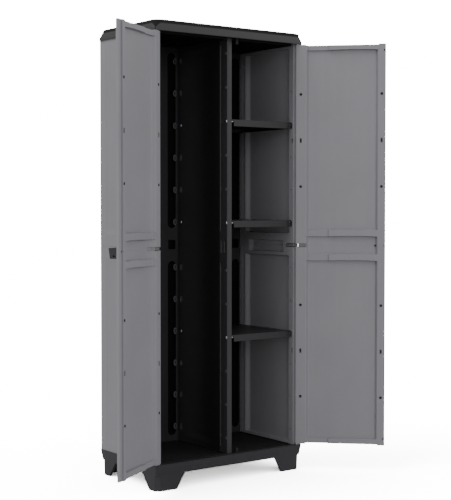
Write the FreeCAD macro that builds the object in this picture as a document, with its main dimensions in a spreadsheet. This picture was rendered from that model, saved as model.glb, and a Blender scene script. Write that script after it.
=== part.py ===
"""Garden storage cabinet: two tall doors, a broom side and a shelf side, in millimetres.

The origin is on the ground under the middle of the base. +X points to the right, +Y to the
back and +Z up. The doors are modelled round their own hinge lines and stand open.
"""

import FreeCAD, Part
import math
import os
import Sketcher

# Every size is a length in millimetres, or an angle in degrees where the name says so.
SIZES = {
    # Whole cabinet
    "width": 702.0,
    "depth": 406.0,
    "height": 1735.0,
    # Base
    "base_inset": 2.0,
    "base_corner": 8.0,
    "base_top": 100.2,
    "base_skirt": 40.5,
    "base_draft": 6.0,
    "base_wall": 4.0,
    "deck_drop": 4.2,
    "deck_thickness": 4.0,
    "lip_wall": 3.0,
    "foot_top_length": 127.0,
    "foot_foot_length": 91.0,
    "foot_top_depth": 100.0,
    "foot_foot_depth": 50.0,
    "foot_wall": 9.0,
    "foot_draft": 1.5,
    "foot_corner": 15.0,
    "deck_rib": 4.0,
    # Cover
    "cover_height": 41.6,
    "cover_corner": 18.0,
    "cover_top_corner": 34.0,
    "cover_edge": 4.0,
    "cover_lip": 9.5,
    "cover_draft": 8.0,
    "cover_wall": 4.0,
    "cover_rib": 3.0,
    "cover_rib_drop": 3.9,
    "cover_rib_pitch": 74.0,
    # Panels shared by sides and back
    "panel_inset": 5.0,
    "panel_corner": 4.0,
    "panel_thickness": 25.0,
    "panel_skin": 13.0,
    "back_inset": 13.0,
    "back_thickness": 18.0,
    "back_skin": 4.0,
    "panel_gap": 0.5,
    "panel_in_cover": 3.5,
    "panel_top_cut": 17.0,
    "front_stile": 28.3,
    "front_slope": 8.0,
    "rear_slope_start": 125.5,
    "rear_slope": 7.0,
    "channel_width": 24.0,
    "channel_depth": 2.5,
    "end_rail": 14.0,
    "mid_band_below": 42.0,
    "mid_band_above": 48.0,
    "grip_low_length": 207.0,
    "grip_high_length": 203.0,
    "grip_middle": -10.5,
    "grip_below": 29.0,
    "grip_above": 19.0,
    "grip_depth": 8.0,
    "back_frame": 25.0,
    "trough_width": 41.0,
    "trough_by_wall": 4.0,
    "trough_by_divider": 18.6,
    "trough_band_start": 66.0,
    "trough_band_end": 18.0,
    # Divider
    "divider_middle": 13.6,
    "divider_thickness": 22.8,
    "divider_front": 12.0,
    "divider_stile": 28.0,
    "divider_channel": 11.0,
    "divider_channel_depth": 5.0,
    "divider_post": 52.0,
    "divider_back_post": 64.0,
    "divider_field_depth": 8.0,
    # Doors
    "door_thickness": 15.4,
    "door_skin": 3.0,
    "door_low_gap": 4.2,
    "door_high_gap": 2.2,
    "door_swing_gap": 2.6,
    "hinge_inset": 20.4,
    "hinge_setback": 14.0,
    "hinge_to_face": 6.7,
    "hinge_to_edge": 5.6,
    "hinge_edge_inside": 3.5,
    "hinge_edge_outside": 6.0,
    "centre_gap": 1.0,
    "hinge_stile": 35.0,
    "left_free_stile": 42.0,
    "right_free_stile": 10.5,
    "stile_slope": 18.0,
    "free_slope": 28.0,
    "end_rail_height": 24.0,
    "mid_rail_height": 27.0,
    "mid_band_half": 34.5,
    "rail_setback": 3.6,
    "rail_notch": 125.5,
    "rail_notch_depth": 5.5,
    "rail_arch": 2.0,
    "overlap_width": 19.0,
    "overlap_thickness": 4.6,
    "overlap_gap": 0.6,
    "overlap_floor": 1.2,
    "rebate_width": 21.6,
    "left_open_degrees": 147.7,
    "right_open_degrees": 136.3,
    # Moulded holes and their rows
    "stile_hole_radius": 3.8,
    "stile_hole_depth": 11.0,
    "upper_hole_first": 233.2,
    "upper_hole_pitch": 182.2,
    "lower_hole_first": 237.2,
    "lower_hole_pitch": 182.8,
    "left_hinge_hole": 11.0,
    "right_hinge_hole": 15.2,
    "left_free_hole": 298.5,
    "right_free_hole": 333.0,
    "overlap_hole_radius": 2.9,
    "overlap_hole_edge": 5.4,
    "overlap_hole_end": 25.6,
    "peg_first": 91.3,
    "peg_pitch": 129.7,
    "peg_radius": 3.0,
    "peg_fit": 0.08,
    "peg_reach": 8.0,
    "peg_hold": 8.0,
    "peg_front": 17.0,
    "peg_back": 146.0,
    "peg_stand_out": 1.0,
    "slot_front": 6.7,
    "slot_width": 4.0,
    "slot_height": 14.0,
    # Shelves
    "shelf_gap": 1.0,
    "shelf_depth": 26.0,
    "shelf_plate": 4.0,
    "shelf_skirt": 3.0,
    "shelf_back_gap": 6.0,
    "shelf_rest_gap": 0.3,
    "shelf_over_peg": 8.5,
    "shelf_rib_pitch": 60.0,
    "shelf_notch": 11.0,
    # Hinges
    "pivot_radius": 3.0,
    "pivot_fit": 0.08,
    "pivot_in_door": 24.0,
    "pivot_in_frame": 5.5,
    "pivot_collar_radius": 5.5,
    "pivot_collar_gap": 0.3,
    "plate_thickness": 10.0,
    "plate_slot_gap": 1.2,
    "plate_radius": 4.8,
    "plate_length": 54.0,
    "plate_side_gap": 0.3,
    "leaf_length": 29.4,
    "leaf_thickness": 4.0,
    "leaf_gap": 0.2,
    "leaf_start": 5.6,
    "hinge_pin_radius": 2.0,
    "hinge_pin_half_length": 30.0,
    # Handles
    "handle_low": 24.2,
    "handle_high": 12.8,
    "handle_low_reach": 26.0,
    "handle_high_reach": 31.0,
    "handle_length": 58.0,
    "handle_edge": 3.0,
    "handle_lug": 8.0,
    "handle_base": 4.0,
    "handle_grip": 6.0,
    "lock_eye_radius": 4.0,
    "lock_eye_out": 11.5,
    "lock_eye_drop": 15.5,
    "left_screw_place": 20.2,
    "right_screw_place": 20.0,
    "screw_radius": 2.0,
    "screw_head_radius": 4.0,
    "screw_head": 2.6,
    "screw_hole_gap": 0.2,
    # Catches, wall holes and rear screws
    "catch_radius": 7.0,
    "catch_height": 12.0,
    "catch_place": 43.0,
    "catch_behind_door": 2.3,
    "wall_hole_radius": 4.0,
    "wall_hole_spacing": 412.0,
    "wall_hole_drop": 94.0,
    "rear_screw_length": 32.0,
    "rear_screw_edge": 7.0,
    "tongue_length": 8.0,
    "tongue_thickness": 4.0,
    "tongue_gap": 0.2,
}
SHEET = "Sizes"
LARGEST_ERROR = 1e-6


class Term:
    """A number together with the formula that the document keeps for it."""

    def __init__(self, number, text):
        self.number = float(number)
        self.text = text

    def joined(self, other, sign, number, swap=False):
        first, second = text_of(self), text_of(other)
        if swap:
            first, second = second, first
        return Term(number, f"({first} {sign} {second})")

    def __add__(self, other):
        return self.joined(other, "+", self.number + number_of(other))

    def __radd__(self, other):
        return self.joined(other, "+", self.number + number_of(other), swap=True)

    def __sub__(self, other):
        return self.joined(other, "-", self.number - number_of(other))

    def __rsub__(self, other):
        return self.joined(other, "-", number_of(other) - self.number, swap=True)

    def __mul__(self, other):
        return self.joined(other, "*", self.number * number_of(other))

    def __rmul__(self, other):
        return self.joined(other, "*", self.number * number_of(other), swap=True)

    def __truediv__(self, other):
        return self.joined(other, "/", self.number / number_of(other))

    def __neg__(self):
        return Term(-self.number, f"(0 - {self.text})")


def number_of(value):
    """The number behind a Term or a plain number."""
    return value.number if isinstance(value, Term) else float(value)


def text_of(value):
    """The formula behind a Term or a plain number."""
    return value.text if isinstance(value, Term) else repr(float(value))


def size(name):
    """One named size of the sheet."""
    return Term(SIZES[name], f"{SHEET}.{name}")


def bind(feature, place, value):
    """Ties a property of a feature to the sheet, or sets it where it is a plain number."""
    feature.setExpression(place, text_of(value))


def ordered(first, second):
    """Two places along one direction, the lower one first."""
    if number_of(first) <= number_of(second):
        return first, second
    return second, first


doc = FreeCAD.newDocument("GardenCabinet")
sheet = doc.addObject("Spreadsheet::Sheet", SHEET)
for row, (alias, amount) in enumerate(SIZES.items(), start=1):
    sheet.set(f"A{row}", alias)
    sheet.set(f"B{row}", str(amount))
    sheet.setAlias(f"B{row}", alias)
doc.recompute()

# Places worked out from the sizes
half_width = size("width") / 2
half_depth = size("depth") / 2
cover_bottom = size("height") - size("cover_height")
deck_top = size("base_top") - size("deck_drop")
skirt_bottom = size("base_top") - size("base_skirt")
door_low = size("base_top") + size("door_low_gap")
door_high = cover_bottom - size("door_high_gap")
joint_height = (door_low + door_high) / 2
outer_face = 0 - size("hinge_to_face")
inner_face = size("door_thickness") - size("hinge_to_face")
hinge_x = half_width - size("hinge_inset")
hinge_y = size("hinge_setback") - half_depth
panel_front = hinge_y + inner_face + size("door_swing_gap")
panel_outer = half_width - size("panel_inset")
panel_inner = panel_outer - size("panel_thickness")
field_x = panel_outer - size("panel_skin")
panel_rear = half_depth - size("panel_inset")
back_outer = half_depth - size("back_inset")
back_inner = back_outer - size("back_thickness")
divider_left = size("divider_middle") - size("divider_thickness") / 2
divider_right = size("divider_middle") + size("divider_thickness") / 2
divider_front = panel_front + size("divider_front")
door_reach = hinge_x - size("centre_gap") / 2
panel_top = cover_bottom + size("panel_in_cover")
cover_inside = size("height") - size("cover_wall")
ceiling = cover_bottom - size("cover_rib_drop")
peg_front = panel_front + size("peg_front")
zero = Term(0, "0")

AXES = {"x": "YZ_Plane", "y": "XZ_Plane", "z": "XY_Plane"}
sub_parts = []


class Moulding:
    """A PartDesign body whose pads and pockets run along one axis between two places."""

    def __init__(self, label):
        self.body = doc.addObject("PartDesign::Body", label)
        self.body.Label = label
        self.count = 0
        sub_parts.append(self.body)

    def plane(self, axis):
        for feature in self.body.Origin.OriginFeatures:
            if feature.Role == AXES[axis]:
                return feature
        raise RuntimeError(f"no plane across {axis}")

    def sketch(self, axis, offset):
        """An empty sketch across an axis, moved along the plane's own normal."""
        self.count += 1
        made = self.body.newObject("Sketcher::SketchObject", f"{self.body.Name}_sketch_{self.count}")
        made.AttachmentSupport = [(self.plane(axis), "")]
        made.MapMode = "FlatFace"
        bind(made, "AttachmentOffset.Base.z", offset)
        return made

    def extrude(self, kind, axis, shapes, low, high):
        """A pad or a pocket of some closed shapes from the low to the high place."""
        before = self.volume()
        upwards = (kind == "Pad") != (axis == "y")
        start = low if upwards else high
        sketch = self.sketch(axis, -start if axis == "y" else start)
        for shape in shapes:
            shape.draw(sketch)
        feature = self.body.newObject(f"PartDesign::{kind}", f"{self.body.Name}_{kind}_{self.count}")
        feature.Profile = sketch
        bind(feature, "Length", high - low)
        doc.recompute()
        self.compare(kind, before)
        return feature

    def add(self, axis, shapes, low, high):
        return self.extrude("Pad", axis, shapes, low, high)

    def cut(self, axis, shapes, low, high):
        return self.extrude("Pocket", axis, shapes, low, high)

    def loft(self, kind, first, first_place, second, second_place):
        """A straight loft between two flat shapes that lie across z."""
        before = self.volume()
        sketches = []
        for shape, place in ((first, first_place), (second, second_place)):
            sketch = self.sketch("z", place)
            shape.draw(sketch)
            sketches.append(sketch)
        doc.recompute()
        feature = self.body.newObject(f"PartDesign::{kind}", f"{self.body.Name}_{kind}_{self.count}")
        feature.Profile = sketches[0]
        feature.Sections = [sketches[1]]
        feature.Ruled = True
        doc.recompute()
        self.compare(kind, before)
        return feature

    def round_edges(self, radius, wanted):
        """Rounds each edge of the shape so far that a test picks."""
        base = self.body.Tip
        names = [f"Edge{i}" for i, edge in enumerate(base.Shape.Edges, start=1) if wanted(edge)]
        if not names:
            raise RuntimeError(f"{self.body.Label} has no edge to round")
        self.count += 1
        feature = self.body.newObject("PartDesign::Fillet", f"{self.body.Name}_Fillet_{self.count}")
        feature.Base = (base, names)
        bind(feature, "Radius", radius)
        doc.recompute()
        return feature

    def volume(self):
        return self.body.Shape.Volume if self.count and not self.body.Shape.isNull() else 0.0

    def compare(self, kind, before):
        """Stops where a feature failed, or where a cut took nothing away."""
        after = self.volume()
        grows = "Pad" in kind or "Additive" in kind
        if abs(after - before) < LARGEST_ERROR or (after > before) != grows:
            raise RuntimeError(f"{self.body.Label}: {kind} {self.count} changed {before} to {after}")

    def turn(self, base_x, base_y, degrees):
        """Stands the finished body on a hinge line, turned about it."""
        self.body.Placement = FreeCAD.Placement(
            FreeCAD.Vector(number_of(base_x), number_of(base_y), 0),
            FreeCAD.Rotation(FreeCAD.Vector(0, 0, 1), number_of(degrees)),
        )
        turn_by_sheet(self.body, base_x, base_y, degrees)


def turn_by_sheet(item, base_x, base_y, degrees):
    """Ties a placement about z to the sheet."""
    item.setExpression("Placement.Base.x", text_of(base_x))
    item.setExpression("Placement.Base.y", text_of(base_y))
    item.setExpression("Placement.Rotation.Angle", text_of(degrees))


class Outline:
    """A closed outline of straight sides, drawn with every corner tied to the sheet."""

    def __init__(self, corners):
        self.corners = corners

    def draw(self, sketch):
        points = [FreeCAD.Vector(number_of(u), number_of(v), 0) for u, v in self.corners]
        lines = []
        for here, there in zip(points, points[1:] + points[:1]):
            lines.append(sketch.addGeometry(Part.LineSegment(here, there), False))
        for here, there in zip(lines, lines[1:] + lines[:1]):
            sketch.addConstraint(Sketcher.Constraint("Coincident", here, 2, there, 1))
        for line, (u, v) in zip(lines, self.corners):
            place_point(sketch, line, 1, u, v)


class Circle:
    """A circle with its middle and radius tied to the sheet."""

    def __init__(self, u, v, radius):
        self.u, self.v, self.radius = u, v, radius

    def draw(self, sketch):
        middle = FreeCAD.Vector(number_of(self.u), number_of(self.v), 0)
        normal = FreeCAD.Vector(0, 0, 1)
        circle = Part.Circle(middle, normal, number_of(self.radius))
        geometry = sketch.addGeometry(circle, False)
        place_point(sketch, geometry, 3, self.u, self.v)
        tie(sketch, Sketcher.Constraint("Radius", geometry, number_of(self.radius)), self.radius)


class Arch:
    """A flat segment: a straight chord with a shallow arc that rises above it."""

    def __init__(self, low_u, high_u, v, rise):
        self.low_u, self.high_u, self.v, self.rise = low_u, high_u, v, rise

    def draw(self, sketch):
        chord = self.high_u - self.low_u
        radius = (chord * chord / 4 + self.rise * self.rise) / (2 * self.rise)
        low, high = number_of(self.low_u), number_of(self.high_u)
        level, rise = number_of(self.v), number_of(self.rise)
        start = FreeCAD.Vector(low, level, 0)
        end = FreeCAD.Vector(high, level, 0)
        top = FreeCAD.Vector((low + high) / 2, level + rise, 0)
        line = sketch.addGeometry(Part.LineSegment(start, end), False)
        arc = sketch.addGeometry(Part.Arc(end, top, start), False)
        sketch.addConstraint(Sketcher.Constraint("Coincident", line, 2, arc, 1))
        sketch.addConstraint(Sketcher.Constraint("Coincident", line, 1, arc, 2))
        place_point(sketch, line, 1, self.low_u, self.v)
        place_point(sketch, line, 2, self.high_u, self.v)
        tie(sketch, Sketcher.Constraint("Radius", arc, number_of(radius)), radius)


class RoundedRectangle:
    """A rectangle about the origin with its four corners rounded, drawn counterclockwise."""

    def __init__(self, reach_u, reach_v, radius):
        self.reach_u, self.reach_v, self.radius = reach_u, reach_v, radius

    def draw(self, sketch):
        radius = self.radius
        corner = number_of(radius) * (1 - math.sqrt(0.5))
        arcs = []
        for sign_u, sign_v, starts_along_u in ((1, -1, True), (1, 1, False), (-1, 1, True), (-1, -1, False)):
            side = (sign_u * self.reach_u, sign_v * (self.reach_v - radius))
            end = (sign_u * (self.reach_u - radius), sign_v * self.reach_v)
            ends = (end, side) if starts_along_u else (side, end)
            first, last = [FreeCAD.Vector(number_of(u), number_of(v), 0) for u, v in ends]
            middle = FreeCAD.Vector(
                sign_u * (number_of(self.reach_u) - corner), sign_v * (number_of(self.reach_v) - corner), 0
            )
            arc = sketch.addGeometry(Part.Arc(first, middle, last), False)
            place_point(sketch, arc, 1, *ends[0])
            place_point(sketch, arc, 2, *ends[1])
            tie(sketch, Sketcher.Constraint("Radius", arc, number_of(radius)), radius)
            arcs.append((arc, first, last))
        for (arc, _, last), (next_arc, first, _) in zip(arcs, arcs[1:] + arcs[:1]):
            line = sketch.addGeometry(Part.LineSegment(last, first), False)
            sketch.addConstraint(Sketcher.Constraint("Coincident", arc, 2, line, 1))
            sketch.addConstraint(Sketcher.Constraint("Coincident", line, 2, next_arc, 1))


def tie(sketch, constraint, value):
    """Adds a constraint and ties its size to the sheet."""
    index = sketch.addConstraint(constraint)
    sketch.setExpression(f"Constraints[{index}]", text_of(value))


def place_point(sketch, geometry, point, u, v):
    """Holds one point of a sketch at its place from the origin, along both directions."""
    across = Sketcher.Constraint("DistanceX", -1, 1, geometry, point, number_of(u))
    along = Sketcher.Constraint("DistanceY", -1, 1, geometry, point, number_of(v))
    tie(sketch, across, u)
    tie(sketch, along, v)


def rectangle(low_u, high_u, low_v, high_v):
    """A rectangle between two places each way."""
    return Outline([(low_u, low_v), (high_u, low_v), (high_u, high_v), (low_u, high_v)])


def is_upright(edge):
    """Whether an edge is a straight line that runs along z."""
    first, last = edge.Vertexes[0].Point, edge.Vertexes[-1].Point
    return abs(first.x - last.x) < 1e-4 and abs(first.y - last.y) < 1e-4 and abs(first.z - last.z) > 1


def upright_at(x, y=None):
    """A test for the upright edges at one place along x and, where it is given, one along y."""

    def test(edge):
        point = edge.Vertexes[0].Point
        near_y = y is None or abs(point.y - number_of(y)) < 0.01
        return is_upright(edge) and abs(point.x - number_of(x)) < 0.01 and near_y

    return test


def level_at(z):
    """A test for the edges that lie wholly at one height."""

    def test(edge):
        bounds = edge.BoundBox
        return abs(bounds.ZMin - number_of(z)) < 0.01 and abs(bounds.ZMax - number_of(z)) < 0.01

    return test


def box(label, low, high):
    """A plain block between two corners, each place tied to the sheet."""
    block = doc.addObject("Part::Box", label)
    for name, axis, start, end in zip(("Length", "Width", "Height"), "xyz", low, high):
        bind(block, name, end - start)
        bind(block, f"Placement.Base.{axis}", start)
    return block


def rod(label, middle, radius, length, along="z"):
    """A round rod that starts at a place and runs along an axis."""
    bar = doc.addObject("Part::Cylinder", label)
    vector, degrees = {"z": ((0, 0, 1), 0), "x": ((0, 1, 0), 90), "y": ((1, 0, 0), -90)}[along]
    turn = FreeCAD.Rotation(FreeCAD.Vector(*vector), degrees)
    bar.Placement = FreeCAD.Placement(FreeCAD.Vector(0, 0, 0), turn)
    bind(bar, "Radius", radius)
    bind(bar, "Height", length)
    for axis, place in zip("xyz", middle):
        bind(bar, f"Placement.Base.{axis}", place)
    return bar


def joined(label, pieces):
    """Pieces that run into each other, as one solid."""
    fused = doc.addObject("Part::MultiFuse", label)
    fused.Shapes = pieces
    return fused


def group(label, pieces):
    """Separate solids that share one name."""
    made = doc.addObject("Part::Compound", label)
    made.Label = label
    made.Links = pieces
    sub_parts.append(made)
    return made


def build_base():
    """One moulding: a tray with a drafted skirt, a deck, low lips and four hollow feet."""
    base = Moulding("base")
    rim_x, rim_y = half_width - size("base_inset"), half_depth - size("base_inset")
    low_x, low_y = rim_x - size("base_draft"), rim_y - size("base_draft")
    radius = size("base_corner")
    base.loft(
        "AdditiveLoft",
        RoundedRectangle(low_x, low_y, radius), skirt_bottom,
        RoundedRectangle(rim_x, rim_y, radius), size("base_top"),
    )
    foot_low_x, foot_low_y = low_x - size("foot_draft"), low_y - size("foot_draft")
    for sign_x in (-1, 1):
        for sign_y in (-1, 1):
            foot(base, sign_x, sign_y, (low_x, low_y), (foot_low_x, foot_low_y))
    wall = size("base_wall")
    under = deck_top - size("deck_thickness")
    base.cut("z", [RoundedRectangle(low_x - wall, low_y - wall, radius)], skirt_bottom, under)
    for sign_x in (-1, 1):
        for sign_y in (-1, 1):
            foot_hollow(base, sign_x, sign_y, (low_x, low_y), (foot_low_x, foot_low_y))
    rib_half = size("deck_rib") / 2
    rib_end = low_y - wall / 2
    ribs = []
    for place in (0 - low_x / 2, zero, low_x / 2):
        ribs.append(rectangle(place - rib_half, place + rib_half, 0 - rib_end, rib_end))
    base.add("z", ribs, skirt_bottom + wall, under + wall / 2)
    tray(base)
    reach_in_deck = size("base_top") - size("pivot_in_frame") - size("pivot_collar_gap")
    bore = size("pivot_radius") + size("pivot_fit")
    circles = [Circle(sign_x * hinge_x, hinge_y, bore) for sign_x in (-1, 1)]
    base.cut("z", circles, reach_in_deck, size("base_top"))
    return base


def foot_plan(sign_x, sign_y, outer, length, depth, wall):
    """One foot in plan: a rectangle inwards from its outer corner, with that corner cut off.

    With a wall it is the hollow instead, which runs on beyond the foot's two inner sides.
    """
    out_x, out_y = outer[0] - wall, outer[1] - wall
    cut = size("foot_corner") - wall / 2
    end_x, end_y = outer[0] - length, outer[1] - depth
    if wall is not zero:
        end_x, end_y = end_x - wall, end_y - wall
    corners = [(out_x, end_y), (out_x, out_y - cut), (out_x - cut, out_y), (end_x, out_y), (end_x, end_y)]
    return Outline([(sign_x * x, sign_y * y) for x, y in corners])


def foot_plans(sign_x, sign_y, top_corner, low_corner, wall):
    """The plans of one foot, or of its hollow, on the ground and under the skirt."""
    low_size = (size("foot_foot_length"), size("foot_foot_depth"))
    top_size = (size("foot_top_length"), size("foot_top_depth"))
    low = foot_plan(sign_x, sign_y, low_corner, *low_size, wall)
    top = foot_plan(sign_x, sign_y, top_corner, *top_size, wall)
    return low, top


def foot(base, sign_x, sign_y, top_corner, low_corner):
    """A tapered foot under one corner of the skirt."""
    low, top = foot_plans(sign_x, sign_y, top_corner, low_corner, zero)
    base.loft("AdditiveLoft", low, zero, top, skirt_bottom)


def foot_hollow(base, sign_x, sign_y, top_corner, low_corner):
    """Leaves only the front or rear wall and the side wall of a foot, open to the inside."""
    low, top = foot_plans(sign_x, sign_y, top_corner, low_corner, size("foot_wall"))
    base.loft("SubtractiveLoft", low, zero, top, skirt_bottom)


def panel_sockets():
    """The plan of the two compartments inside the panel feet, a clearance inside the panels."""
    lip = size("lip_wall")
    gap = size("panel_gap")
    front = panel_front + size("front_stile") / 2
    left = (0 - panel_inner + gap, divider_left - gap)
    right = (divider_right + gap, panel_inner - gap)
    return front, back_inner - gap, left, right, lip


def tray(base):
    """The deck, sunk below the rim, with a low lip round each compartment's floor."""
    front, back, left, right, lip = panel_sockets()
    gap = size("panel_gap")
    side, rear, corner = panel_outer + gap, panel_rear + gap, size("panel_corner")
    front_edge = panel_front - gap
    sunk = [
        (0 - side, front_edge), (side, front_edge), (side, rear - corner),
        (side - corner, rear), (corner - side, rear), (0 - side, rear - corner),
    ]
    base.cut("z", [Outline(sunk)], deck_top, size("base_top"))
    for low_x, high_x in (left, right):
        ring = [
            rectangle(low_x, high_x, front, back),
            rectangle(low_x + lip, high_x - lip, front + lip, back - lip),
        ]
        base.add("z", ring, deck_top, size("base_top"))


def build_cover():
    """One moulding: a drafted cap with a skirt, sockets for the panels and stiffening ribs."""
    cover = Moulding("top_cover")
    radius, top_radius = size("cover_corner"), size("cover_top_corner")
    draft = size("cover_draft")
    lip_top = cover_bottom + size("cover_lip")
    cover.add("z", [RoundedRectangle(half_width, half_depth, radius)], cover_bottom, lip_top)
    cover.loft(
        "AdditiveLoft",
        RoundedRectangle(half_width, half_depth, radius), lip_top,
        RoundedRectangle(half_width - draft, half_depth - draft, top_radius), size("height"),
    )
    cover.round_edges(size("cover_edge"), level_at(size("height")))
    wall = size("cover_wall")
    top_inside = cover_inside
    inner_low = RoundedRectangle(half_width - wall, half_depth - wall, radius - wall)
    inner_high = RoundedRectangle(half_width - wall - draft, half_depth - wall - draft, top_radius - wall)
    cover.loft("SubtractiveLoft", inner_low, cover_bottom, inner_high, top_inside)
    front, back, left, right, lip = panel_sockets()
    for low_x, high_x in (left, right):
        ring = [
            rectangle(low_x, high_x, front, back),
            rectangle(low_x + lip, high_x - lip, front + lip, back - lip),
        ]
        cover.add("z", ring, ceiling, top_inside + wall / 2)
    seat_x = half_width - wall - draft + 1
    seat_y = half_depth - wall - draft + 1
    cut_x, cut_y = seat_x - top_radius, seat_y - top_radius
    outer_seat = Outline([
        (0 - seat_x, front), (seat_x, front), (seat_x, cut_y), (cut_x, seat_y),
        (0 - cut_x, seat_y), (0 - seat_x, cut_y),
    ])
    inner_seat = rectangle(lip / 2 - panel_inner, panel_inner - lip / 2, front + lip / 2, back - lip / 2)
    middle_seat = rectangle(divider_left, divider_right, front + lip / 4, back - lip / 4)
    cover.add("z", [outer_seat, inner_seat], panel_top, top_inside + wall / 2)
    cover.add("z", [middle_seat], panel_top, top_inside + wall / 2)
    rib = size("cover_rib")
    for low_x, high_x in (left, right):
        count = int(number_of(high_x - low_x) // SIZES["cover_rib_pitch"])
        step = (high_x - low_x) / (count + 1)
        bars = []
        for index in range(1, count + 1):
            middle = low_x + step * index
            bars.append(rectangle(middle - rib / 2, middle + rib / 2, front + lip / 2, back - lip / 2))
        cover.add("z", bars, ceiling, top_inside + wall / 2)
    boss = size("pivot_collar_radius")
    for sign_x in (-1, 1):
        cover.add("z", [Circle(sign_x * hinge_x, hinge_y, boss)], cover_bottom, top_inside + wall / 2)
    bore = size("pivot_radius") + size("pivot_fit")
    circles = [Circle(sign_x * hinge_x, hinge_y, bore) for sign_x in (-1, 1)]
    cover.cut("z", circles, cover_bottom, cover_bottom + size("pivot_in_frame") + size("pivot_collar_gap"))
    return cover


def peg_levels(upper):
    """Heights of the peg holes in one half of the cabinet."""
    levels = []
    for index in range(6):
        offset = size("peg_first") + size("peg_pitch") * index
        levels.append(joint_height + offset if upper else joint_height - offset)
    return levels


def build_side(label, sign, upper):
    """Half of one side wall: an outer skin, two thick edges, end rails, a mid band and a grip."""
    side = Moulding(label)
    low, high = (joint_height, panel_top) if upper else (deck_top, joint_height)
    slope_end = size("rear_slope_start") + size("rear_slope")
    stile_end = panel_front + size("front_stile")
    plan = [
        (panel_outer, panel_front),
        (panel_outer, panel_rear - size("panel_corner")),
        (panel_outer - size("panel_corner"), panel_rear),
        (panel_inner, panel_rear),
        (panel_inner, slope_end),
        (field_x, size("rear_slope_start")),
        (field_x, stile_end + size("front_slope")),
        (panel_inner, stile_end),
        (panel_inner, panel_front),
    ]
    side.add("z", [Outline([(sign * x, y) for x, y in plan])], low, high)
    across = (stile_end - size("front_stile") / 2, slope_end + size("rear_slope") / 2)
    overlap = size("panel_skin") / 2
    inner, outer = ordered(sign * panel_inner, sign * (field_x + overlap))
    rails = []
    if upper:
        rails.append(rectangle(across[0], across[1], high - size("end_rail") - size("cover_wall"), high))
        rails.append(rectangle(across[0], across[1], low, low + size("mid_band_above")))
    else:
        rails.append(rectangle(across[0], across[1], low, low + size("end_rail")))
        rails.append(rectangle(across[0], across[1], high - size("mid_band_below"), high))
    side.add("x", rails, inner, outer)
    cut_grip(side, sign, upper)
    cut_channel(side, sign, low, high, slope_end)
    hole = size("peg_radius") + size("peg_fit")
    depth_in, depth_out = ordered(sign * panel_inner, sign * (panel_inner + size("peg_hold")))
    levels = peg_levels(upper)
    front_holes = [Circle(peg_front, level, hole) for level in levels]
    rear_holes = [Circle(size("peg_back"), level, hole) for level in levels]
    side.cut("x", front_holes + rear_holes, depth_in, depth_out)
    level = hole_level(upper, 1)
    tall, wide = size("slot_height") / 2, size("slot_width") / 2
    slot_y = panel_front + size("slot_front")
    slot = rectangle(slot_y - wide, slot_y + wide, level - tall, level + tall)
    side.cut("x", [slot], depth_in, depth_out)
    cut_plate_slot(side, sign, upper)
    behind_plate = hinge_y + size("plate_length") + size("plate_radius") + size("tongue_thickness") * 1.5
    add_tongues(side, upper, [side_tongue(sign, y) for y in (behind_plate, panel_rear - size("front_slope"))])
    if upper:
        cut_top_corner(side, sign)
    return side


def cut_top_corner(side, sign):
    """The cut at the rear corner of a wall's top, which clears the rounded corner of the cover."""
    reach, gap = size("panel_top_cut"), size("panel_gap")
    corners = [(panel_outer + gap, panel_rear - reach), (panel_outer + gap, panel_rear + gap),
               (panel_outer - reach, panel_rear + gap)]
    side.cut("z", [Outline([(sign * x, y) for x, y in corners])], cover_bottom - gap, panel_top)


def cut_grip(side, sign, upper):
    """The shallow pocket in the mid band: longer at its top, and shared by both halves."""
    middle = size("grip_middle")
    low_half, high_half = size("grip_low_length") / 2, size("grip_high_length") / 2
    bottom, top = joint_height - size("grip_below"), joint_height + size("grip_above")
    share = size("grip_below") / (size("grip_below") + size("grip_above"))
    joint_half = low_half + (high_half - low_half) * share
    if upper:
        corners = [(middle - joint_half, joint_height), (middle + joint_half, joint_height),
                   (middle + high_half, top), (middle - high_half, top)]
    else:
        corners = [(middle - low_half, bottom), (middle + low_half, bottom),
                   (middle + joint_half, joint_height), (middle - joint_half, joint_height)]
    low_x, high_x = ordered(sign * panel_inner, sign * (panel_inner + size("grip_depth")))
    side.cut("x", [Outline(corners)], low_x, high_x)


def cut_channel(side, sign, low, high, slope_end):
    """The upright channel in the rear edge of a side wall."""
    start = slope_end + size("rear_slope") / 3
    end = start + size("channel_width")
    low_x, high_x = ordered(sign * panel_inner, sign * (panel_inner + size("channel_depth")))
    margin = size("end_rail")
    side.cut("x", [rectangle(start + margin / 2, end, low + margin, high - margin)], low_x, high_x)


def plate_profile(sign, side_gap):
    """The slot for the middle hinge's frame plate in plan, open to the front and to the inside."""
    half = size("plate_radius") + side_gap
    low_x, high_x = ordered(sign * (panel_inner - 1), sign * (hinge_x + half))
    return rectangle(low_x, high_x, panel_front - 1, hinge_y + size("plate_length") + half)


def cut_plate_slot(side, sign, upper):
    """The slot where the middle hinge's frame plate lies between two halves of a side wall."""
    half = size("plate_thickness") / 2
    low, high = (joint_height, joint_height + half) if upper else (joint_height - half, joint_height)
    side.cut("z", [plate_profile(sign, size("plate_side_gap"))], low, high)


def side_tongue(sign, y):
    """The plan of one tongue in a thick edge of a side wall, as ranges along x and y."""
    middle = sign * (panel_inner + size("panel_thickness") / 2)
    half = size("tongue_thickness") / 2
    return (middle - half, middle + half, y - half, y + half)


def add_tongues(panel, upper, tongues):
    """Tongues under an upper half, or the pockets that take them in a lower half."""
    gap = size("tongue_gap")
    low = joint_height - size("tongue_length")
    if upper:
        shapes = [rectangle(*ranges) for ranges in tongues]
        panel.add("z", shapes, low, joint_height)
        return
    shapes = []
    for low_x, high_x, low_y, high_y in tongues:
        shapes.append(rectangle(low_x - gap, high_x + gap, low_y - gap, high_y + gap))
    panel.cut("z", shapes, low - gap, joint_height)


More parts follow.
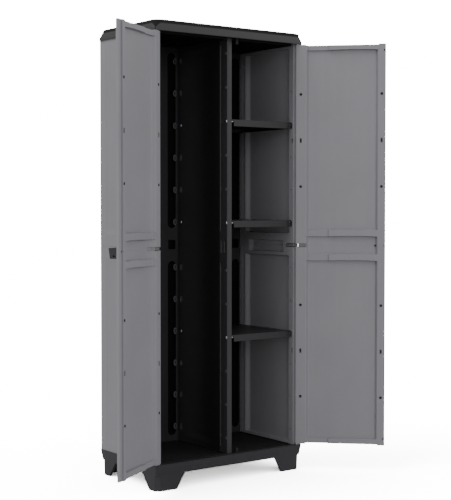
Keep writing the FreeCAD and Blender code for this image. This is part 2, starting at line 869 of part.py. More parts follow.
def rear_screw_levels(upper):
    """Heights of the screws that hold one half of the back to the divider."""
    offsets = [size("peg_first") + size("peg_pitch") * index for index in (0.5, 2.5, 4.5)]
    return [joint_height + offset if upper else joint_height - offset for offset in offsets]


def back_troughs(low_x, high_x, left):
    """Ranges along x of the four upright troughs in the inner side of one back wall."""
    width = size("trough_width")
    margins = (size("trough_by_wall"), size("trough_by_divider"))
    first_margin, last_margin = margins if left else margins[::-1]
    first = low_x + first_margin
    step = (high_x - last_margin - width - first) / 3
    return [(first + step * index, first + step * index + width) for index in range(4)]


def build_back(label, left, upper):
    """Half of one back wall: a thick plate with upright troughs in its inner side.

    In the lower half a solid band below the joint stops the troughs for a short way.
    """
    back = Moulding(label)
    gap = size("panel_gap")
    low_z, high_z = (joint_height, panel_top) if upper else (deck_top, joint_height)
    if left:
        low_x, high_x = gap - panel_inner, size("divider_middle")
    else:
        low_x, high_x = size("divider_middle"), panel_inner - gap
    back.add("z", [rectangle(low_x, high_x, back_inner, back_outer)], low_z, high_z)
    frame = size("back_frame")
    if upper:
        spans = [(low_z, high_z - frame)]
    else:
        spans = [(low_z + frame, high_z - size("trough_band_start")), (high_z - size("trough_band_end"), high_z)]
    troughs = back_troughs(low_x, high_x, left)
    cuts = [rectangle(start, end, low, high) for start, end in troughs for low, high in spans]
    back.cut("y", cuts, back_inner, back_outer - size("back_skin"))
    if upper:
        place = size("wall_hole_spacing") / 2
        level = cover_bottom - size("wall_hole_drop")
        place = -place if left else place
        hole = Circle(place, level, size("wall_hole_radius"))
        back.cut("y", [hole], back_outer - size("back_skin"), back_outer)
    screw_x = size("divider_middle") + (-1 if left else 1) * size("rear_screw_edge")
    hole = size("screw_radius") + size("screw_hole_gap")
    holes = [Circle(screw_x, level, hole) for level in rear_screw_levels(upper)]
    back.cut("y", holes, back_inner, back_outer)
    middle_y = back_inner + size("back_thickness") / 2
    half = size("tongue_thickness") / 2
    tongues = []
    for index in (0, 2):
        place = (troughs[index][1] + troughs[index + 1][0]) / 2
        tongues.append((place - half, place + half, middle_y - half, middle_y + half))
    add_tongues(back, upper, tongues)
    return back


def build_divider(label, upper):
    """Half of the divider: thick edges, a thin web, channels, and holes for the pegs."""
    divider = Moulding(label)
    low_z, high_z = (joint_height, panel_top) if upper else (deck_top, joint_height)
    back = back_inner
    divider.add("z", [rectangle(divider_left, divider_right, divider_front, back)], low_z, high_z)
    rail = size("back_frame")
    depth = size("divider_field_depth")
    field_start, field_end = divider_front + size("divider_post"), back - size("divider_back_post")
    field = rectangle(field_start, field_end, low_z + rail, high_z - rail)
    start = divider_front + size("divider_stile")
    channel = rectangle(start, start + size("divider_channel"), low_z + rail, high_z - rail)
    thin = size("divider_channel_depth")
    divider.cut("x", [field], divider_left, divider_left + depth)
    divider.cut("x", [field], divider_right - depth, divider_right)
    divider.cut("x", [channel], divider_left, divider_left + thin)
    divider.cut("x", [channel], divider_right - thin, divider_right)
    hole = size("peg_radius") + size("peg_fit")
    levels = peg_levels(upper)
    if upper:
        levels = [level for level in levels if number_of(level + hole) < number_of(high_z)]
    circles = [Circle(y, level, hole) for level in levels for y in (peg_front, size("peg_back"))]
    divider.cut("x", circles, divider_left, divider_right)
    bores = []
    for side in (-1, 1):
        x = size("divider_middle") + side * size("rear_screw_edge")
        bores += [Circle(x, level, size("screw_radius")) for level in rear_screw_levels(upper)]
    divider.cut("y", bores, back_outer - size("rear_screw_length"), back)
    half = size("tongue_thickness") / 2
    middle = size("divider_middle")
    tongues = []
    for y in (divider_front + size("divider_stile") / 2, back - size("divider_stile") / 2):
        tongues.append((middle - half, middle + half, y - half, y + half))
    add_tongues(divider, upper, tongues)
    return divider


class DoorSide:
    """What differs between the two doors: the mirror sign, the free edge and how far it is open."""

    def __init__(self, name, sign, free_stile, hinge_hole, free_hole, screw_place, open_degrees):
        self.name = name
        self.sign = sign
        self.free_stile = free_stile
        self.hinge_hole = hinge_hole
        self.free_hole = free_hole
        self.screw_place = screw_place
        self.open_degrees = open_degrees

    def stand(self, item):
        """Puts a finished piece of this door on its hinge line, opened as far as it stands."""
        if isinstance(item, Moulding):
            item.turn(-self.sign * hinge_x, hinge_y, -self.sign * self.open_degrees)
        else:
            turn_by_sheet(item, -self.sign * hinge_x, hinge_y, -self.sign * self.open_degrees)

    def mirrored(self, corners):
        return Outline([(self.sign * u, v) for u, v in corners])

    def across(self, low, high):
        return ordered(self.sign * low, self.sign * high)

    def block(self, low, high, low_z, high_z):
        low_x, high_x = self.across(low, high)
        return rectangle(low_x, high_x, low_z, high_z)


def door_of(name, sign):
    """One door, with the sizes that the sheet keeps under its own name."""
    own = ("free_stile", "hinge_hole", "free_hole", "screw_place", "open_degrees")
    return DoorSide(name, sign, *(size(f"{name}_{word}") for word in own))


LEFT = door_of("left", 1)
RIGHT = door_of("right", -1)


def build_door_half(door, upper):
    """Half of a door round its hinge line: a skin with stiles, arched rails and moulded holes."""
    label = f"{door.name}_door_{'upper' if upper else 'lower'}"
    half = Moulding(label)
    low_z, high_z = (joint_height, door_high) if upper else (door_low, joint_height)
    edge = 0 - size("hinge_to_edge")
    plan = [(edge, outer_face), (door_reach, outer_face), (door_reach, inner_face), (edge, inner_face)]
    half.add("z", [door.mirrored(plan)], low_z, high_z)
    half.round_edges(size("hinge_edge_outside"), upright_at(door.sign * edge, outer_face))
    half.round_edges(size("hinge_edge_inside"), upright_at(door.sign * edge, inner_face))
    half.round_edges(size("door_skin") / 2, upright_at(door.sign * door_reach, outer_face))
    free_edge(half, door, low_z, high_z)
    field_start, field_end = size("hinge_stile"), door_reach - door.free_stile
    slope, free_slope = size("stile_slope"), size("free_slope")
    floor_y = outer_face + size("door_skin")
    trough = door.mirrored([
        (field_start, inner_face), (field_start + slope, floor_y),
        (field_end - free_slope, floor_y), (field_end, inner_face),
    ])
    band = size("mid_band_half")
    rail = size("mid_rail_height")
    end_rail = size("end_rail_height")
    if upper:
        spans = [(low_z, low_z + band), (low_z + band + rail, high_z - end_rail)]
        rails = [(low_z + band, low_z + band + rail), (high_z - end_rail, high_z)]
        setback = (high_z - size("rail_setback"), high_z)
    else:
        spans = [(low_z + end_rail, high_z - band - rail), (high_z - band, high_z)]
        rails = [(low_z, low_z + end_rail), (high_z - band - rail, high_z - band)]
        setback = (low_z, low_z + size("rail_setback"))
    for start, end in spans:
        half.cut("z", [trough], start, end)
    low_x, high_x = door.across(size("rail_notch"), field_end - free_slope)
    rise = size("rail_arch")
    tops = [Arch(low_x, high_x, end, rise) for _, end in rails if end is not high_z]
    bottoms = [Arch(low_x, high_x, start, rise) for start, _ in rails if start is not low_z]
    half.cut("y", bottoms, floor_y, inner_face)
    half.add("y", tops, floor_y - size("door_skin") / 2, inner_face - size("rail_notch_depth") / 2)
    notches = [door.block(field_start + slope / 2, size("rail_notch"), start, end) for start, end in rails]
    half.cut("y", notches, inner_face - size("rail_notch_depth"), inner_face)
    half.cut("y", [door.block(field_start, field_end, *setback)], outer_face, inner_face)
    stile_holes(half, door, upper)
    hinge_cuts(half, door, upper, low_z, high_z)
    handle_hole(half, door)
    width = size("tongue_thickness") * 1.5
    start = door_reach - door.free_stile + size("tongue_thickness") / 2
    low_x, high_x = door.across(start, start + width)
    tongue = (low_x, high_x, 0 - size("tongue_thickness") / 2, size("tongue_thickness") / 4)
    add_tongues(half, upper, [tongue])
    door.stand(half)
    return half


def free_edge(half, door, low_z, high_z):
    """The right door's thin overlapping strip, or the step in the left door that makes room for it."""
    depth = size("overlap_thickness")
    if door is RIGHT:
        low_x, high_x = door.across(door_reach - size("overlap_gap"), door_reach + size("overlap_width"))
        half.add("z", [rectangle(low_x, high_x, inner_face - depth, inner_face)], low_z, high_z)
        half.round_edges(depth / 3, upright_at(door.sign * (door_reach + size("overlap_width"))))
    else:
        low_x, high_x = door.across(door_reach - size("rebate_width"), door_reach)
        depth = depth + size("overlap_gap")
        half.cut("z", [rectangle(low_x, high_x, inner_face - depth, inner_face)], low_z, high_z)


def hole_level(upper, index):
    """The height of a moulded hole in an edge, counted away from the joint between the halves."""
    if upper:
        return joint_height + size("upper_hole_first") + size("upper_hole_pitch") * index
    return joint_height - size("lower_hole_first") - size("lower_hole_pitch") * index


def stile_holes(half, door, upper):
    """The moulded holes of both stiles: round ones with a slot in the middle of each row."""
    strip_floor = inner_face - size("overlap_thickness") + size("overlap_floor")
    stile_floor = inner_face - size("stile_hole_depth")
    rows = [(door.hinge_hole, stile_floor), (door.free_hole, strip_floor if door is RIGHT else stile_floor)]
    for place, floor in rows:
        shapes = []
        for index in range(3):
            level = hole_level(upper, index)
            if index == 1:
                tall, wide = size("slot_height") / 2, size("slot_width") / 2
                shapes.append(door.block(place - wide, place + wide, level - tall, level + tall))
            else:
                shapes.append(Circle(door.sign * place, level, size("stile_hole_radius")))
        half.cut("y", shapes, floor, inner_face)
    if door is RIGHT:
        end = size("overlap_hole_end")
        place = door.sign * (door_reach + size("overlap_width") - size("overlap_hole_edge"))
        levels = (door_high - end if upper else door_low + end, joint_height)
        holes = [Circle(place, level, size("overlap_hole_radius")) for level in levels]
        half.cut("y", holes, strip_floor, inner_face)


def hinge_cuts(half, door, upper, low_z, high_z):
    """The bore for an end pivot, the slot round the middle hinge, its pin bore and its leaf's seat."""
    bore = size("pivot_radius")
    deep = size("pivot_in_door")
    ends = (high_z - deep, high_z) if upper else (low_z, low_z + deep)
    half.cut("z", [Circle(zero, zero, bore)], *ends)
    slot = size("plate_thickness") / 2 + size("plate_slot_gap")
    low, high = (joint_height, joint_height + slot) if upper else (joint_height - slot, joint_height)
    low_x, high_x = door.across(0 - size("door_thickness"), size("leaf_start"))
    half.cut("z", [rectangle(low_x, high_x, outer_face - 1, inner_face + 1)], low, high)
    pin = size("hinge_pin_half_length")
    low, high = (joint_height, joint_height + pin) if upper else (joint_height - pin, joint_height)
    half.cut("z", [Circle(zero, zero, size("hinge_pin_radius"))], low, high)
    seat = size("plate_thickness") / 2
    low, high = (joint_height, joint_height + seat) if upper else (joint_height - seat, joint_height)
    end = size("leaf_start") + size("leaf_length")
    low_x, high_x = door.across(size("leaf_start") - 1, end)
    half.cut("z", [rectangle(low_x, high_x, inner_face - size("leaf_thickness"), inner_face)], low, high)


def handle_hole(half, door):
    """Half of the hole for the handle's screw, on the joint between the door's halves."""
    place = door.sign * (door_reach - door.screw_place)
    head = size("screw_head_radius") + size("screw_hole_gap")
    shank = size("screw_radius") + size("screw_hole_gap")
    seat = 0 - size("screw_head") / 2
    half.cut("y", [Circle(place, joint_height, shank)], outer_face, inner_face)
    half.cut("y", [Circle(place, joint_height, head)], seat, inner_face)


def build_handle(door):
    """A wedge-shaped black grip on the door's outer face with a lug and an eye for a padlock."""
    handle = Moulding(f"{door.name}_handle")
    low, high = joint_height - size("handle_low"), joint_height + size("handle_high")
    face = outer_face
    profile = Outline([
        (face, low), (face, high),
        (face - size("handle_high_reach"), high), (face - size("handle_low_reach"), low),
    ])
    end = door_reach - size("handle_edge")
    start = end - size("handle_length")
    low_x, high_x = door.across(start, end)
    handle.add("x", [profile], low_x, high_x)
    low_x, high_x = door.across(start, end - size("handle_lug"))
    near = face - size("handle_base")
    far_low = face - size("handle_low_reach") + size("handle_grip")
    far_high = face - size("handle_high_reach") + size("handle_grip")
    finger_room = Outline([(near, low), (near, high), (far_high, high), (far_low, low)])
    handle.cut("x", [finger_room], low_x, high_x)
    eye_y = face - size("lock_eye_out")
    eye = Circle(eye_y, joint_height - size("lock_eye_drop"), size("lock_eye_radius"))
    low_x, high_x = door.across(end - size("handle_lug"), end)
    handle.cut("x", [eye], low_x, high_x)
    place = door.sign * (door_reach - door.screw_place)
    handle.cut("y", [Circle(place, joint_height, size("screw_radius"))], face - size("handle_base"), face)
    door.stand(handle)
    return handle


def build_door_fittings(door):
    """The pivots, the middle hinge's leaf and pin, and the handle's screw of one door."""
    pins = []
    for name, upper in (("low", False), ("high", True)):
        pins.append(pivot(f"{door.name}_{name}_pivot", upper))
    pair = group(f"{door.name}_door_pivots", pins)
    leaf_low, leaf_high = door.across(size("leaf_start"), size("leaf_start") + size("leaf_length"))
    half = size("plate_thickness") / 2 - size("leaf_gap")
    leaf = box(
        f"{door.name}_hinge_leaf",
        (leaf_low, inner_face - size("leaf_thickness"), joint_height - half),
        (leaf_high, inner_face, joint_height + half),
    )
    seat = group(f"{door.name}_door_leaf", [leaf])
    pin_half = size("hinge_pin_half_length")
    start = (zero, zero, joint_height - pin_half)
    pin = rod(f"{door.name}_pin", start, size("hinge_pin_radius"), 2 * pin_half)
    pin_group = group(f"{door.name}_hinge_pin", [pin])
    place = door.sign * (door_reach - door.screw_place)
    seat_y = 0 - size("screw_head") / 2
    bottom = outer_face - size("handle_base")
    name = f"{door.name}_screw"
    start = (place, bottom, joint_height)
    shank = rod(name + "_shank", start, size("screw_radius"), seat_y - bottom, "y")
    start = (place, seat_y, joint_height)
    head = rod(name + "_head", start, size("screw_head_radius"), size("screw_head"), "y")
    screw = group(f"{door.name}_handle_screw", [joined(name, [shank, head])])
    for item in (pair, seat, pin_group, screw):
        door.stand(item)


def pivot(label, upper):
    """An end pivot: a pin with a collar that carries the door on the base, or steadies it above."""
    in_door, in_frame = size("pivot_in_door"), size("pivot_in_frame")
    gap = size("pivot_collar_gap")
    if upper:
        pin_low, pin_high = door_high - in_door, cover_bottom + in_frame
        collar_low, collar_high = door_high, cover_bottom - gap
    else:
        pin_low, pin_high = size("base_top") - in_frame, door_low + in_door
        collar_low, collar_high = size("base_top") + gap, door_low
    pin = rod(label + "_pin", (zero, zero, pin_low), size("pivot_radius"), pin_high - pin_low)
    collar = rod(
        label + "_collar", (zero, zero, collar_low), size("pivot_collar_radius"), collar_high - collar_low
    )
    return joined(label, [pin, collar])


def build_hinge_plate(label, sign):
    """The middle hinge's frame plate: a flat bar with round ends, bored for the door's pin."""
    plate = Moulding(label)
    half = size("plate_thickness") / 2
    radius = size("plate_radius")
    low, high = joint_height - half, joint_height + half
    rear = hinge_y + size("plate_length")
    middle = sign * hinge_x
    plate.add("z", [rectangle(middle - radius, middle + radius, hinge_y, rear)], low, high)
    low_x, high_x = ordered(sign * panel_inner, middle)
    plate.add("z", [rectangle(low_x, high_x, panel_front, rear)], low, high)
    plate.add("z", [Circle(middle, hinge_y, radius)], low, high)
    plate.add("z", [Circle(middle, rear, radius)], low, high)
    plate.cut("z", [Circle(middle, hinge_y, size("hinge_pin_radius") + size("pivot_fit"))], low, high)
    return plate


def shelf_peg_levels():
    """The three hole levels that carry a shelf, from the lowest."""
    first, pitch = size("peg_first"), size("peg_pitch")
    return [joint_height - first - pitch * 2, joint_height + first, joint_height + first + pitch * 3]


def build_pegs():
    """Four pegs under each shelf: two through the divider and two in the right side wall."""
    pegs = []
    radius = size("peg_radius")
    for index, level in enumerate(shelf_peg_levels()):
        for name, y in (("front", peg_front), ("back", size("peg_back"))):
            stand_out = size("peg_stand_out")
            through = stand_out + size("divider_thickness") + size("peg_reach")
            label = f"peg_{index}_{name}"
            start = divider_left - stand_out
            pegs.append(rod(label + "_divider", (start, y, level), radius, through, "x"))
            start = panel_inner - size("peg_reach")
            length = size("peg_reach") + size("peg_hold")
            pegs.append(rod(label + "_side", (start, y, level), radius, length, "x"))
    group("shelf_pegs", pegs)


def build_shelf(label, level):
    """A shelf: a plate with a skirt round it, ribs below and a notch over each peg."""
    shelf = Moulding(label)
    top = level + size("shelf_over_peg")
    low = top - size("shelf_depth")
    under = top - size("shelf_plate")
    gap = size("shelf_gap")
    low_x, high_x = divider_right + gap, panel_inner - gap
    front, back = divider_front, back_inner - size("shelf_back_gap")
    skirt = size("shelf_skirt")
    shelf.add("z", [rectangle(low_x, high_x, front, back)], low, top)
    shelf.cut("z", [rectangle(low_x + skirt, high_x - skirt, front + skirt, back - skirt)], low, under)
    count = int(number_of(high_x - low_x) // SIZES["shelf_rib_pitch"])
    step = (high_x - low_x) / count
    ribs = []
    for index in range(1, count):
        middle = low_x + step * index
        ribs.append(rectangle(middle - skirt / 2, middle + skirt / 2, front + skirt / 2, back - skirt / 2))
    shelf.add("z", ribs, low + size("shelf_depth") / 3, under + skirt / 2)
    notch = size("shelf_notch") / 2
    notch_top = level + size("peg_radius") + size("shelf_rest_gap")
    notches = [rectangle(y - notch, y + notch, low, notch_top) for y in (peg_front, size("peg_back"))]
    shelf.cut("x", notches, low_x, low_x + size("peg_reach") + 1)
    shelf.cut("x", notches, high_x - size("peg_reach") - 1, high_x)
    return shelf


def build_catches():
    """Two round-headed catches that the right door closes against, on the base and in the cover."""
    radius = size("catch_radius")
    catch_y = hinge_y + inner_face + size("catch_behind_door") + radius
    low_end = size("base_top") + size("catch_height")
    high_end = ceiling - size("catch_height")
    catches = []
    for name, start, end, tip in (
        ("low_catch", deck_top, low_end, low_end),
        ("high_catch", high_end, cover_inside, high_end),
    ):
        shank = rod(name + "_shank", (size("catch_place"), catch_y, start), radius, end - start)
        dome = doc.addObject("Part::Sphere", name + "_dome")
        bind(dome, "Radius", radius)
        for axis, place in zip("xyz", (size("catch_place"), catch_y, tip)):
            bind(dome, f"Placement.Base.{axis}", place)
        catches.append(joined(name, [shank, dome]))
    group("door_catches", catches)


def build_rear_screws():
    """Screws through the back walls into the divider, with their heads on the outside."""
    screws = []
    for side in (-1, 1):
        x = size("divider_middle") + side * size("rear_screw_edge")
        for upper in (False, True):
            for level in rear_screw_levels(upper):
                name = f"rear_screw_{len(screws)}"
                length = size("rear_screw_length")
                start = (x, back_outer - length, level)
                shank = rod(name + "_shank", start, size("screw_radius"), length, "y")
                start = (x, back_outer, level)
                head = rod(name + "_head", start, size("screw_head_radius"), size("screw_head"), "y")
                screws.append(joined(name, [shank, head]))
    group("rear_screws", screws)


def check_and_write():
    """Checks every object of the document, then writes one file for each sub-part."""
    doc.recompute()
    faults = []
    for item in doc.Objects:
        if "Invalid" in item.State or "Error" in item.State:
            faults.append(f"{item.Label}: {item.State}")
    for part in sub_parts:
        if part.Shape.isNull() or not part.Shape.isValid():
            faults.append(f"{part.Label}: bad shape")
    if faults:
        raise RuntimeError("\n".join(faults))
    os.makedirs("parts", exist_ok=True)
    for part in sub_parts:
        part.Shape.exportStep(f"parts/{part.Label}.step")
        bounds = part.Shape.BoundBox
        print(f"{part.Label}: {len(part.Shape.Solids)} solids, {part.Shape.Volume / 1000:.1f} cm3, "
              f"x {bounds.XMin:.1f} to {bounds.XMax:.1f}, y {bounds.YMin:.1f} to {bounds.YMax:.1f}, "
              f"z {bounds.ZMin:.1f} to {bounds.ZMax:.1f}")


build_base()
build_cover()
for side_name, side_sign in (("left", -1), ("right", 1)):
    build_side(f"{side_name}_side_lower", side_sign, False)
    build_side(f"{side_name}_side_upper", side_sign, True)
for side_name in ("left", "right"):
    build_back(f"back_{side_name}_lower", side_name == "left", False)
    build_back(f"back_{side_name}_upper", side_name == "left", True)
build_divider("divider_lower", False)
build_divider("divider_upper", True)
build_pegs()
build_catches()
build_rear_screws()
build_hinge_plate("left_hinge_plate", -1)
build_hinge_plate("right_hinge_plate", 1)
for shelf_name, shelf_level in zip(("lower_shelf", "middle_shelf", "upper_shelf"), shelf_peg_levels()):
    build_shelf(shelf_name, shelf_level)
for door_side in (LEFT, RIGHT):
    build_door_half(door_side, False)
    build_door_half(door_side, True)
    build_handle(door_side)
    build_door_fittings(door_side)
check_and_write()
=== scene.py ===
"""Garden storage cabinet: moulded resin panels, two open doors, a dark cap and a base on feet.

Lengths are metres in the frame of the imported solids: +X to the right, +Y to the back, +Z up.
The sizes of panels, holes and their grids are in millimetres, and their classes say so.
"""

from __future__ import annotations

import logging
import math
from dataclasses import dataclass
from enum import Enum
from functools import cache
from typing import Any, Callable, ClassVar, Sequence

import bmesh
import bpy
import numpy as np
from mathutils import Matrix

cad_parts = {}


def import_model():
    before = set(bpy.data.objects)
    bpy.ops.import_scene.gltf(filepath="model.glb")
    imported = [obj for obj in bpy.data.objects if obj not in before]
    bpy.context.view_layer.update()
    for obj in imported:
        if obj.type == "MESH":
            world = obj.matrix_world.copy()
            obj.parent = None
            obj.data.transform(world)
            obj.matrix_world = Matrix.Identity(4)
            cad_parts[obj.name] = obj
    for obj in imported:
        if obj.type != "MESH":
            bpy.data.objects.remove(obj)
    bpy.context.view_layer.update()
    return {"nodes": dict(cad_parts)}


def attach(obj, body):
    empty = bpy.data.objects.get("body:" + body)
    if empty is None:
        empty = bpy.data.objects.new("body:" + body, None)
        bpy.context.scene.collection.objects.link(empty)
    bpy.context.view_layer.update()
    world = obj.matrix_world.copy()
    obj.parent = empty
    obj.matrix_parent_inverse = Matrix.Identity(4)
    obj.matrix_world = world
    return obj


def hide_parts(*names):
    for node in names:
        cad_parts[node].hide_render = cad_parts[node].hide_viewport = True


LOG = logging.getLogger("garden_cabinet")
MM = 0.001
MERGE_DISTANCE = 1e-6
SHARP_DEGREES = 36.0
Array = np.ndarray
Place = Callable[[Array, Array, Array], Array]
Mark = tuple[float, float, float]
Corner = tuple[float, float, float]
Range = tuple[float, float]
# Painted shade: the near-black colour laid inside a finish's box, for the shade inside the cabinet.
PAINTED_SHADE_COLOUR = (0.002, 0.002, 0.0024)


@dataclass
class Shade:
    """One output of a material's nodes, with arithmetic written as Python operators.

    Attributes:
        board: The board that new nodes are added to.
        socket: The output socket that this value comes from.
    """

    board: NodeBoard
    socket: bpy.types.NodeSocket

    def math(self, operation: str, *others: Shade | float, first: bool = True) -> Shade:
        """Adds one Math node.

        Args:
            operation: The Math node's operation.
            others: The other values, as shades or plain numbers.
            first: Whether this value is the node's first input, and not its last.

        Returns:
            The node's result.
        """
        values = [self, *others] if first else [*others, self]
        return self.board.node("ShaderNodeMath", {"operation": operation}, dict(enumerate(values)))

    def __add__(self, other: Shade | float) -> Shade:
        """This value plus another."""
        return self.math("ADD", other)

    __radd__ = __add__

    def __sub__(self, other: Shade | float) -> Shade:
        """This value minus another."""
        return self.math("SUBTRACT", other)

    def __rsub__(self, other: Shade | float) -> Shade:
        """Another value minus this one."""
        return self.math("SUBTRACT", other, first=False)

    def __mul__(self, other: Shade | float) -> Shade:
        """This value times another."""
        return self.math("MULTIPLY", other)

    __rmul__ = __mul__

    def step(self, low: float, high: float) -> Shade:
        """A smooth step from 0 at the low value to 1 at the high one."""
        return self.board.node("ShaderNodeMapRange", {"interpolation_type": "SMOOTHSTEP"},
                               {"Value": self, "From Min": low, "From Max": high})


class NodeBoard:
    """The node tree of one material or of the sky, with a single method that adds any node."""

    def __init__(self, owner: bpy.types.Material | bpy.types.World) -> None:
        """Empties the node tree of a new material or sky."""
        owner.use_nodes = True
        self.owner = owner
        self.tree = owner.node_tree
        self.tree.nodes.clear()

    def node(self, kind: str, settings: dict[str, Any] | None = None,
             values: dict[Any, Any] | None = None, output: str | int = 0) -> Shade:
        """Adds a node, sets it up and links or fills its inputs.

        Args:
            kind: The node's type name.
            settings: Properties of the node, set before its inputs.
            values: Input name or number to a shade, a number, a colour or a vector.
            output: The output that is returned.

        Returns:
            The chosen output.
        """
        made = self.tree.nodes.new(kind)
        for name, value in (settings or {}).items():
            setattr(made, name, value)
        for name, value in (values or {}).items():
            if isinstance(value, Shade):
                self.tree.links.new(value.socket, made.inputs[name])
            else:
                made.inputs[name].default_value = value
        return Shade(self, made.outputs[output])

    def noise(self, place: Shade, scale: float, detail: float = 3.0, rough: float = 0.5) -> Shade:
        """Fractal noise from 0 to 1 at a scale in cycles per metre."""
        values = {"Vector": place, "Scale": scale, "Detail": detail, "Roughness": rough}
        return self.node("ShaderNodeTexNoise", None, values)

    def stretched(self, place: Shade, factors: tuple[float, float, float]) -> Shade:
        """The same place with each direction scaled by its own factor."""
        values = {"Vector": place, "Scale": factors}
        return self.node("ShaderNodeMapping", {"vector_type": "POINT"}, values)

    def blend(self, factor: Shade | float, first: Any, second: Any) -> Shade:
        """A colour that goes from the first to the second as the factor goes from 0 to 1."""
        settings = {"data_type": "RGBA", "blend_type": "MIX", "clamp_factor": True}
        return self.node("ShaderNodeMix", settings, {"Factor": factor, 6: first, 7: second}, output=2)

    def bump(self, strength: float, distance: float, height: Shade, **below: Shade) -> Shade:
        """A normal that follows a height, on top of another normal if one is given."""
        values = {"Strength": strength, "Distance": distance, "Height": height, **below}
        return self.node("ShaderNodeBump", None, values)

    def close(self, shader: Shade, kind: str) -> Any:
        """Links a shader to an output node of a kind and returns the finished material or sky."""
        output = self.tree.nodes.new(kind)
        self.tree.links.new(shader.socket, output.inputs["Surface"])
        return self.owner

    def finish(self, surface: dict[str, Any]) -> bpy.types.Material:
        """Returns the finished material, whose surface shader has the given inputs."""
        shader = self.node("ShaderNodeBsdfPrincipled", None, surface)
        return self.close(shader, "ShaderNodeOutputMaterial")


def rgba(colour: Sequence[float], factor: float = 1.0) -> tuple[float, float, float, float]:
    """A linear colour with an alpha of one, made lighter or darker by a factor."""
    return (colour[0] * factor, colour[1] * factor, colour[2] * factor, 1.0)


@dataclass(frozen=True)
class MouldedResin:
    """Resin with a fine leather-like mould grain, faint flow marks and a little wear.

    Attributes:
        name: The material's name.
        slot: The record's material slot.
        colour: The linear base colour.
        roughness: The mean roughness.
        grain: Height of the mould grain in metres.
        mottle: How much the colour varies, from 0 to 1.
        dust: How much paler the scuffed spots are, from 0 to 1.
        shine: The strength of the clear reflection.
        inside: Lowest and highest corner, in metres, of a box of painted shade, where the colour
            is made almost black and the resin duller, for the shade inside the cabinet.
        fade: Places along Y, in metres, where that painted shade has its full effect and where
            it has none.
    """

    name: str
    slot: str
    colour: tuple[float, float, float]
    roughness: float = 0.5
    grain: float = 0.00006
    mottle: float = 0.05
    dust: float = 0.0
    shine: float = 0.42
    inside: tuple[Corner, Corner] | None = None
    fade: Range | None = None

    def build(self) -> bpy.types.Material:
        """Makes the material.

        The colour is the base colour times 1 plus the mottle times slow noise and upright flow
        marks. The grain is the distance to the borders of small cells, softened by finer noise.
        Inside the finish's box, if it has one, the colour is blended to near black as painted
        shade and the roughness is raised.

        Returns:
            The finished material.
        """
        board = NodeBoard(bpy.data.materials.new(self.name))
        place = board.node("ShaderNodeTexCoord", output="Object")
        cloud = board.noise(place, 5.0, 4.0, 0.55)
        flow = board.noise(board.stretched(place, (55.0, 55.0, 1.6)), 1.0, 2.0, 0.6)
        fine = board.noise(place, 900.0, 2.0, 0.6)
        scuff = board.noise(board.stretched(place, (14.0, 14.0, 90.0)), 2.0, 5.0, 0.7).step(0.62, 0.8)
        tone = cloud * 0.6 + flow * 0.25 + fine * 0.15
        colour = board.blend(tone.step(0.25, 0.75), rgba(self.colour, 1 - self.mottle),
                             rgba(self.colour, 1 + self.mottle))
        pale = tuple(0.5 * part + 0.12 for part in self.colour)
        colour = board.blend(scuff * (0.05 + self.dust * 0.3), colour, rgba(pale))
        cells = board.node("ShaderNodeTexVoronoi", {"feature": "DISTANCE_TO_EDGE"},
                           {"Vector": place, "Scale": 620.0, "Randomness": 1.0})
        height = cells.step(0.0, 0.28) * 0.75 + fine * 0.25
        broad = board.bump(0.25, 0.0012, board.noise(place, 9.0, 1.0, 0.4))
        rough = self.roughness + (cloud - 0.5) * 0.12 + (fine - 0.5) * 0.1 + scuff * 0.06
        # Painted shade: inside the box the colour is blended to near black and the resin made duller.
        if self.inside is not None:
            share = self.painted_shade_share(board, place)
            colour = board.blend(share, colour, rgba(PAINTED_SHADE_COLOUR))
            rough = rough + share * 0.4
        return board.finish({"Base Color": colour, "Roughness": rough, "Specular IOR Level": self.shine,
                             "Normal": board.bump(0.55, self.grain, height, Normal=broad)})

    def painted_shade_share(self, board: NodeBoard, place: Shade) -> Shade:
        """How much painted shade is laid on: 1 in the box and 0 outside, 1 mm between, faded along Y."""
        share: Shade | float = 1.0
        for axis, low, high in zip("XYZ", *self.inside):
            along = board.node("ShaderNodeSeparateXYZ", None, {"Vector": place}, output=axis)
            share = along.step(low, low + MM) * along.step(high, high - MM) * share
            if axis == "Y" and self.fade is not None:
                share = along.step(self.fade[1], self.fade[0]) * share
        return share


@dataclass(frozen=True)
class PlatedSteel:
    """Zinc-plated steel with fine turning marks and a few dull spots.

    Attributes:
        name: The material's name.
        slot: The record's material slot.
        colour: The linear base colour.
        roughness: The mean roughness.
    """

    name: str
    slot: str
    colour: tuple[float, float, float]
    roughness: float = 0.34

    def build(self) -> bpy.types.Material:
        """Makes the material, with roughness and colour that follow spots of two sizes."""
        board = NodeBoard(bpy.data.materials.new(self.name))
        place = board.node("ShaderNodeTexCoord", output="Object")
        spots = board.noise(place, 260.0, 4.0, 0.6)
        marks = board.noise(board.stretched(place, (300.0, 300.0, 2400.0)), 1.0, 2.0, 0.5)
        colour = board.blend(spots.step(0.35, 0.7), rgba(self.colour, 0.8), rgba(self.colour, 1.12))
        rough = self.roughness + (spots - 0.5) * 0.25
        return board.finish({"Base Color": colour, "Metallic": 1.0, "Roughness": rough,
                             "Normal": board.bump(0.4, 0.00003, marks)})


Finish = MouldedResin | PlatedSteel
GREY = MouldedResin("grey_panel_resin", "grey_resin", (0.228, 0.226, 0.244), mottle=0.045, dust=0.1)
# Painted shade: the cover's inner faces are made near black, for the shade under the cap.
CAP = MouldedResin("dark_cap_resin", "cover_resin", (0.0235, 0.0235, 0.025), 0.54, 0.00005, 0.08, 0.08,
                   inside=((-0.347, -0.199, 1.68), (0.347, 0.199, 1.732)))
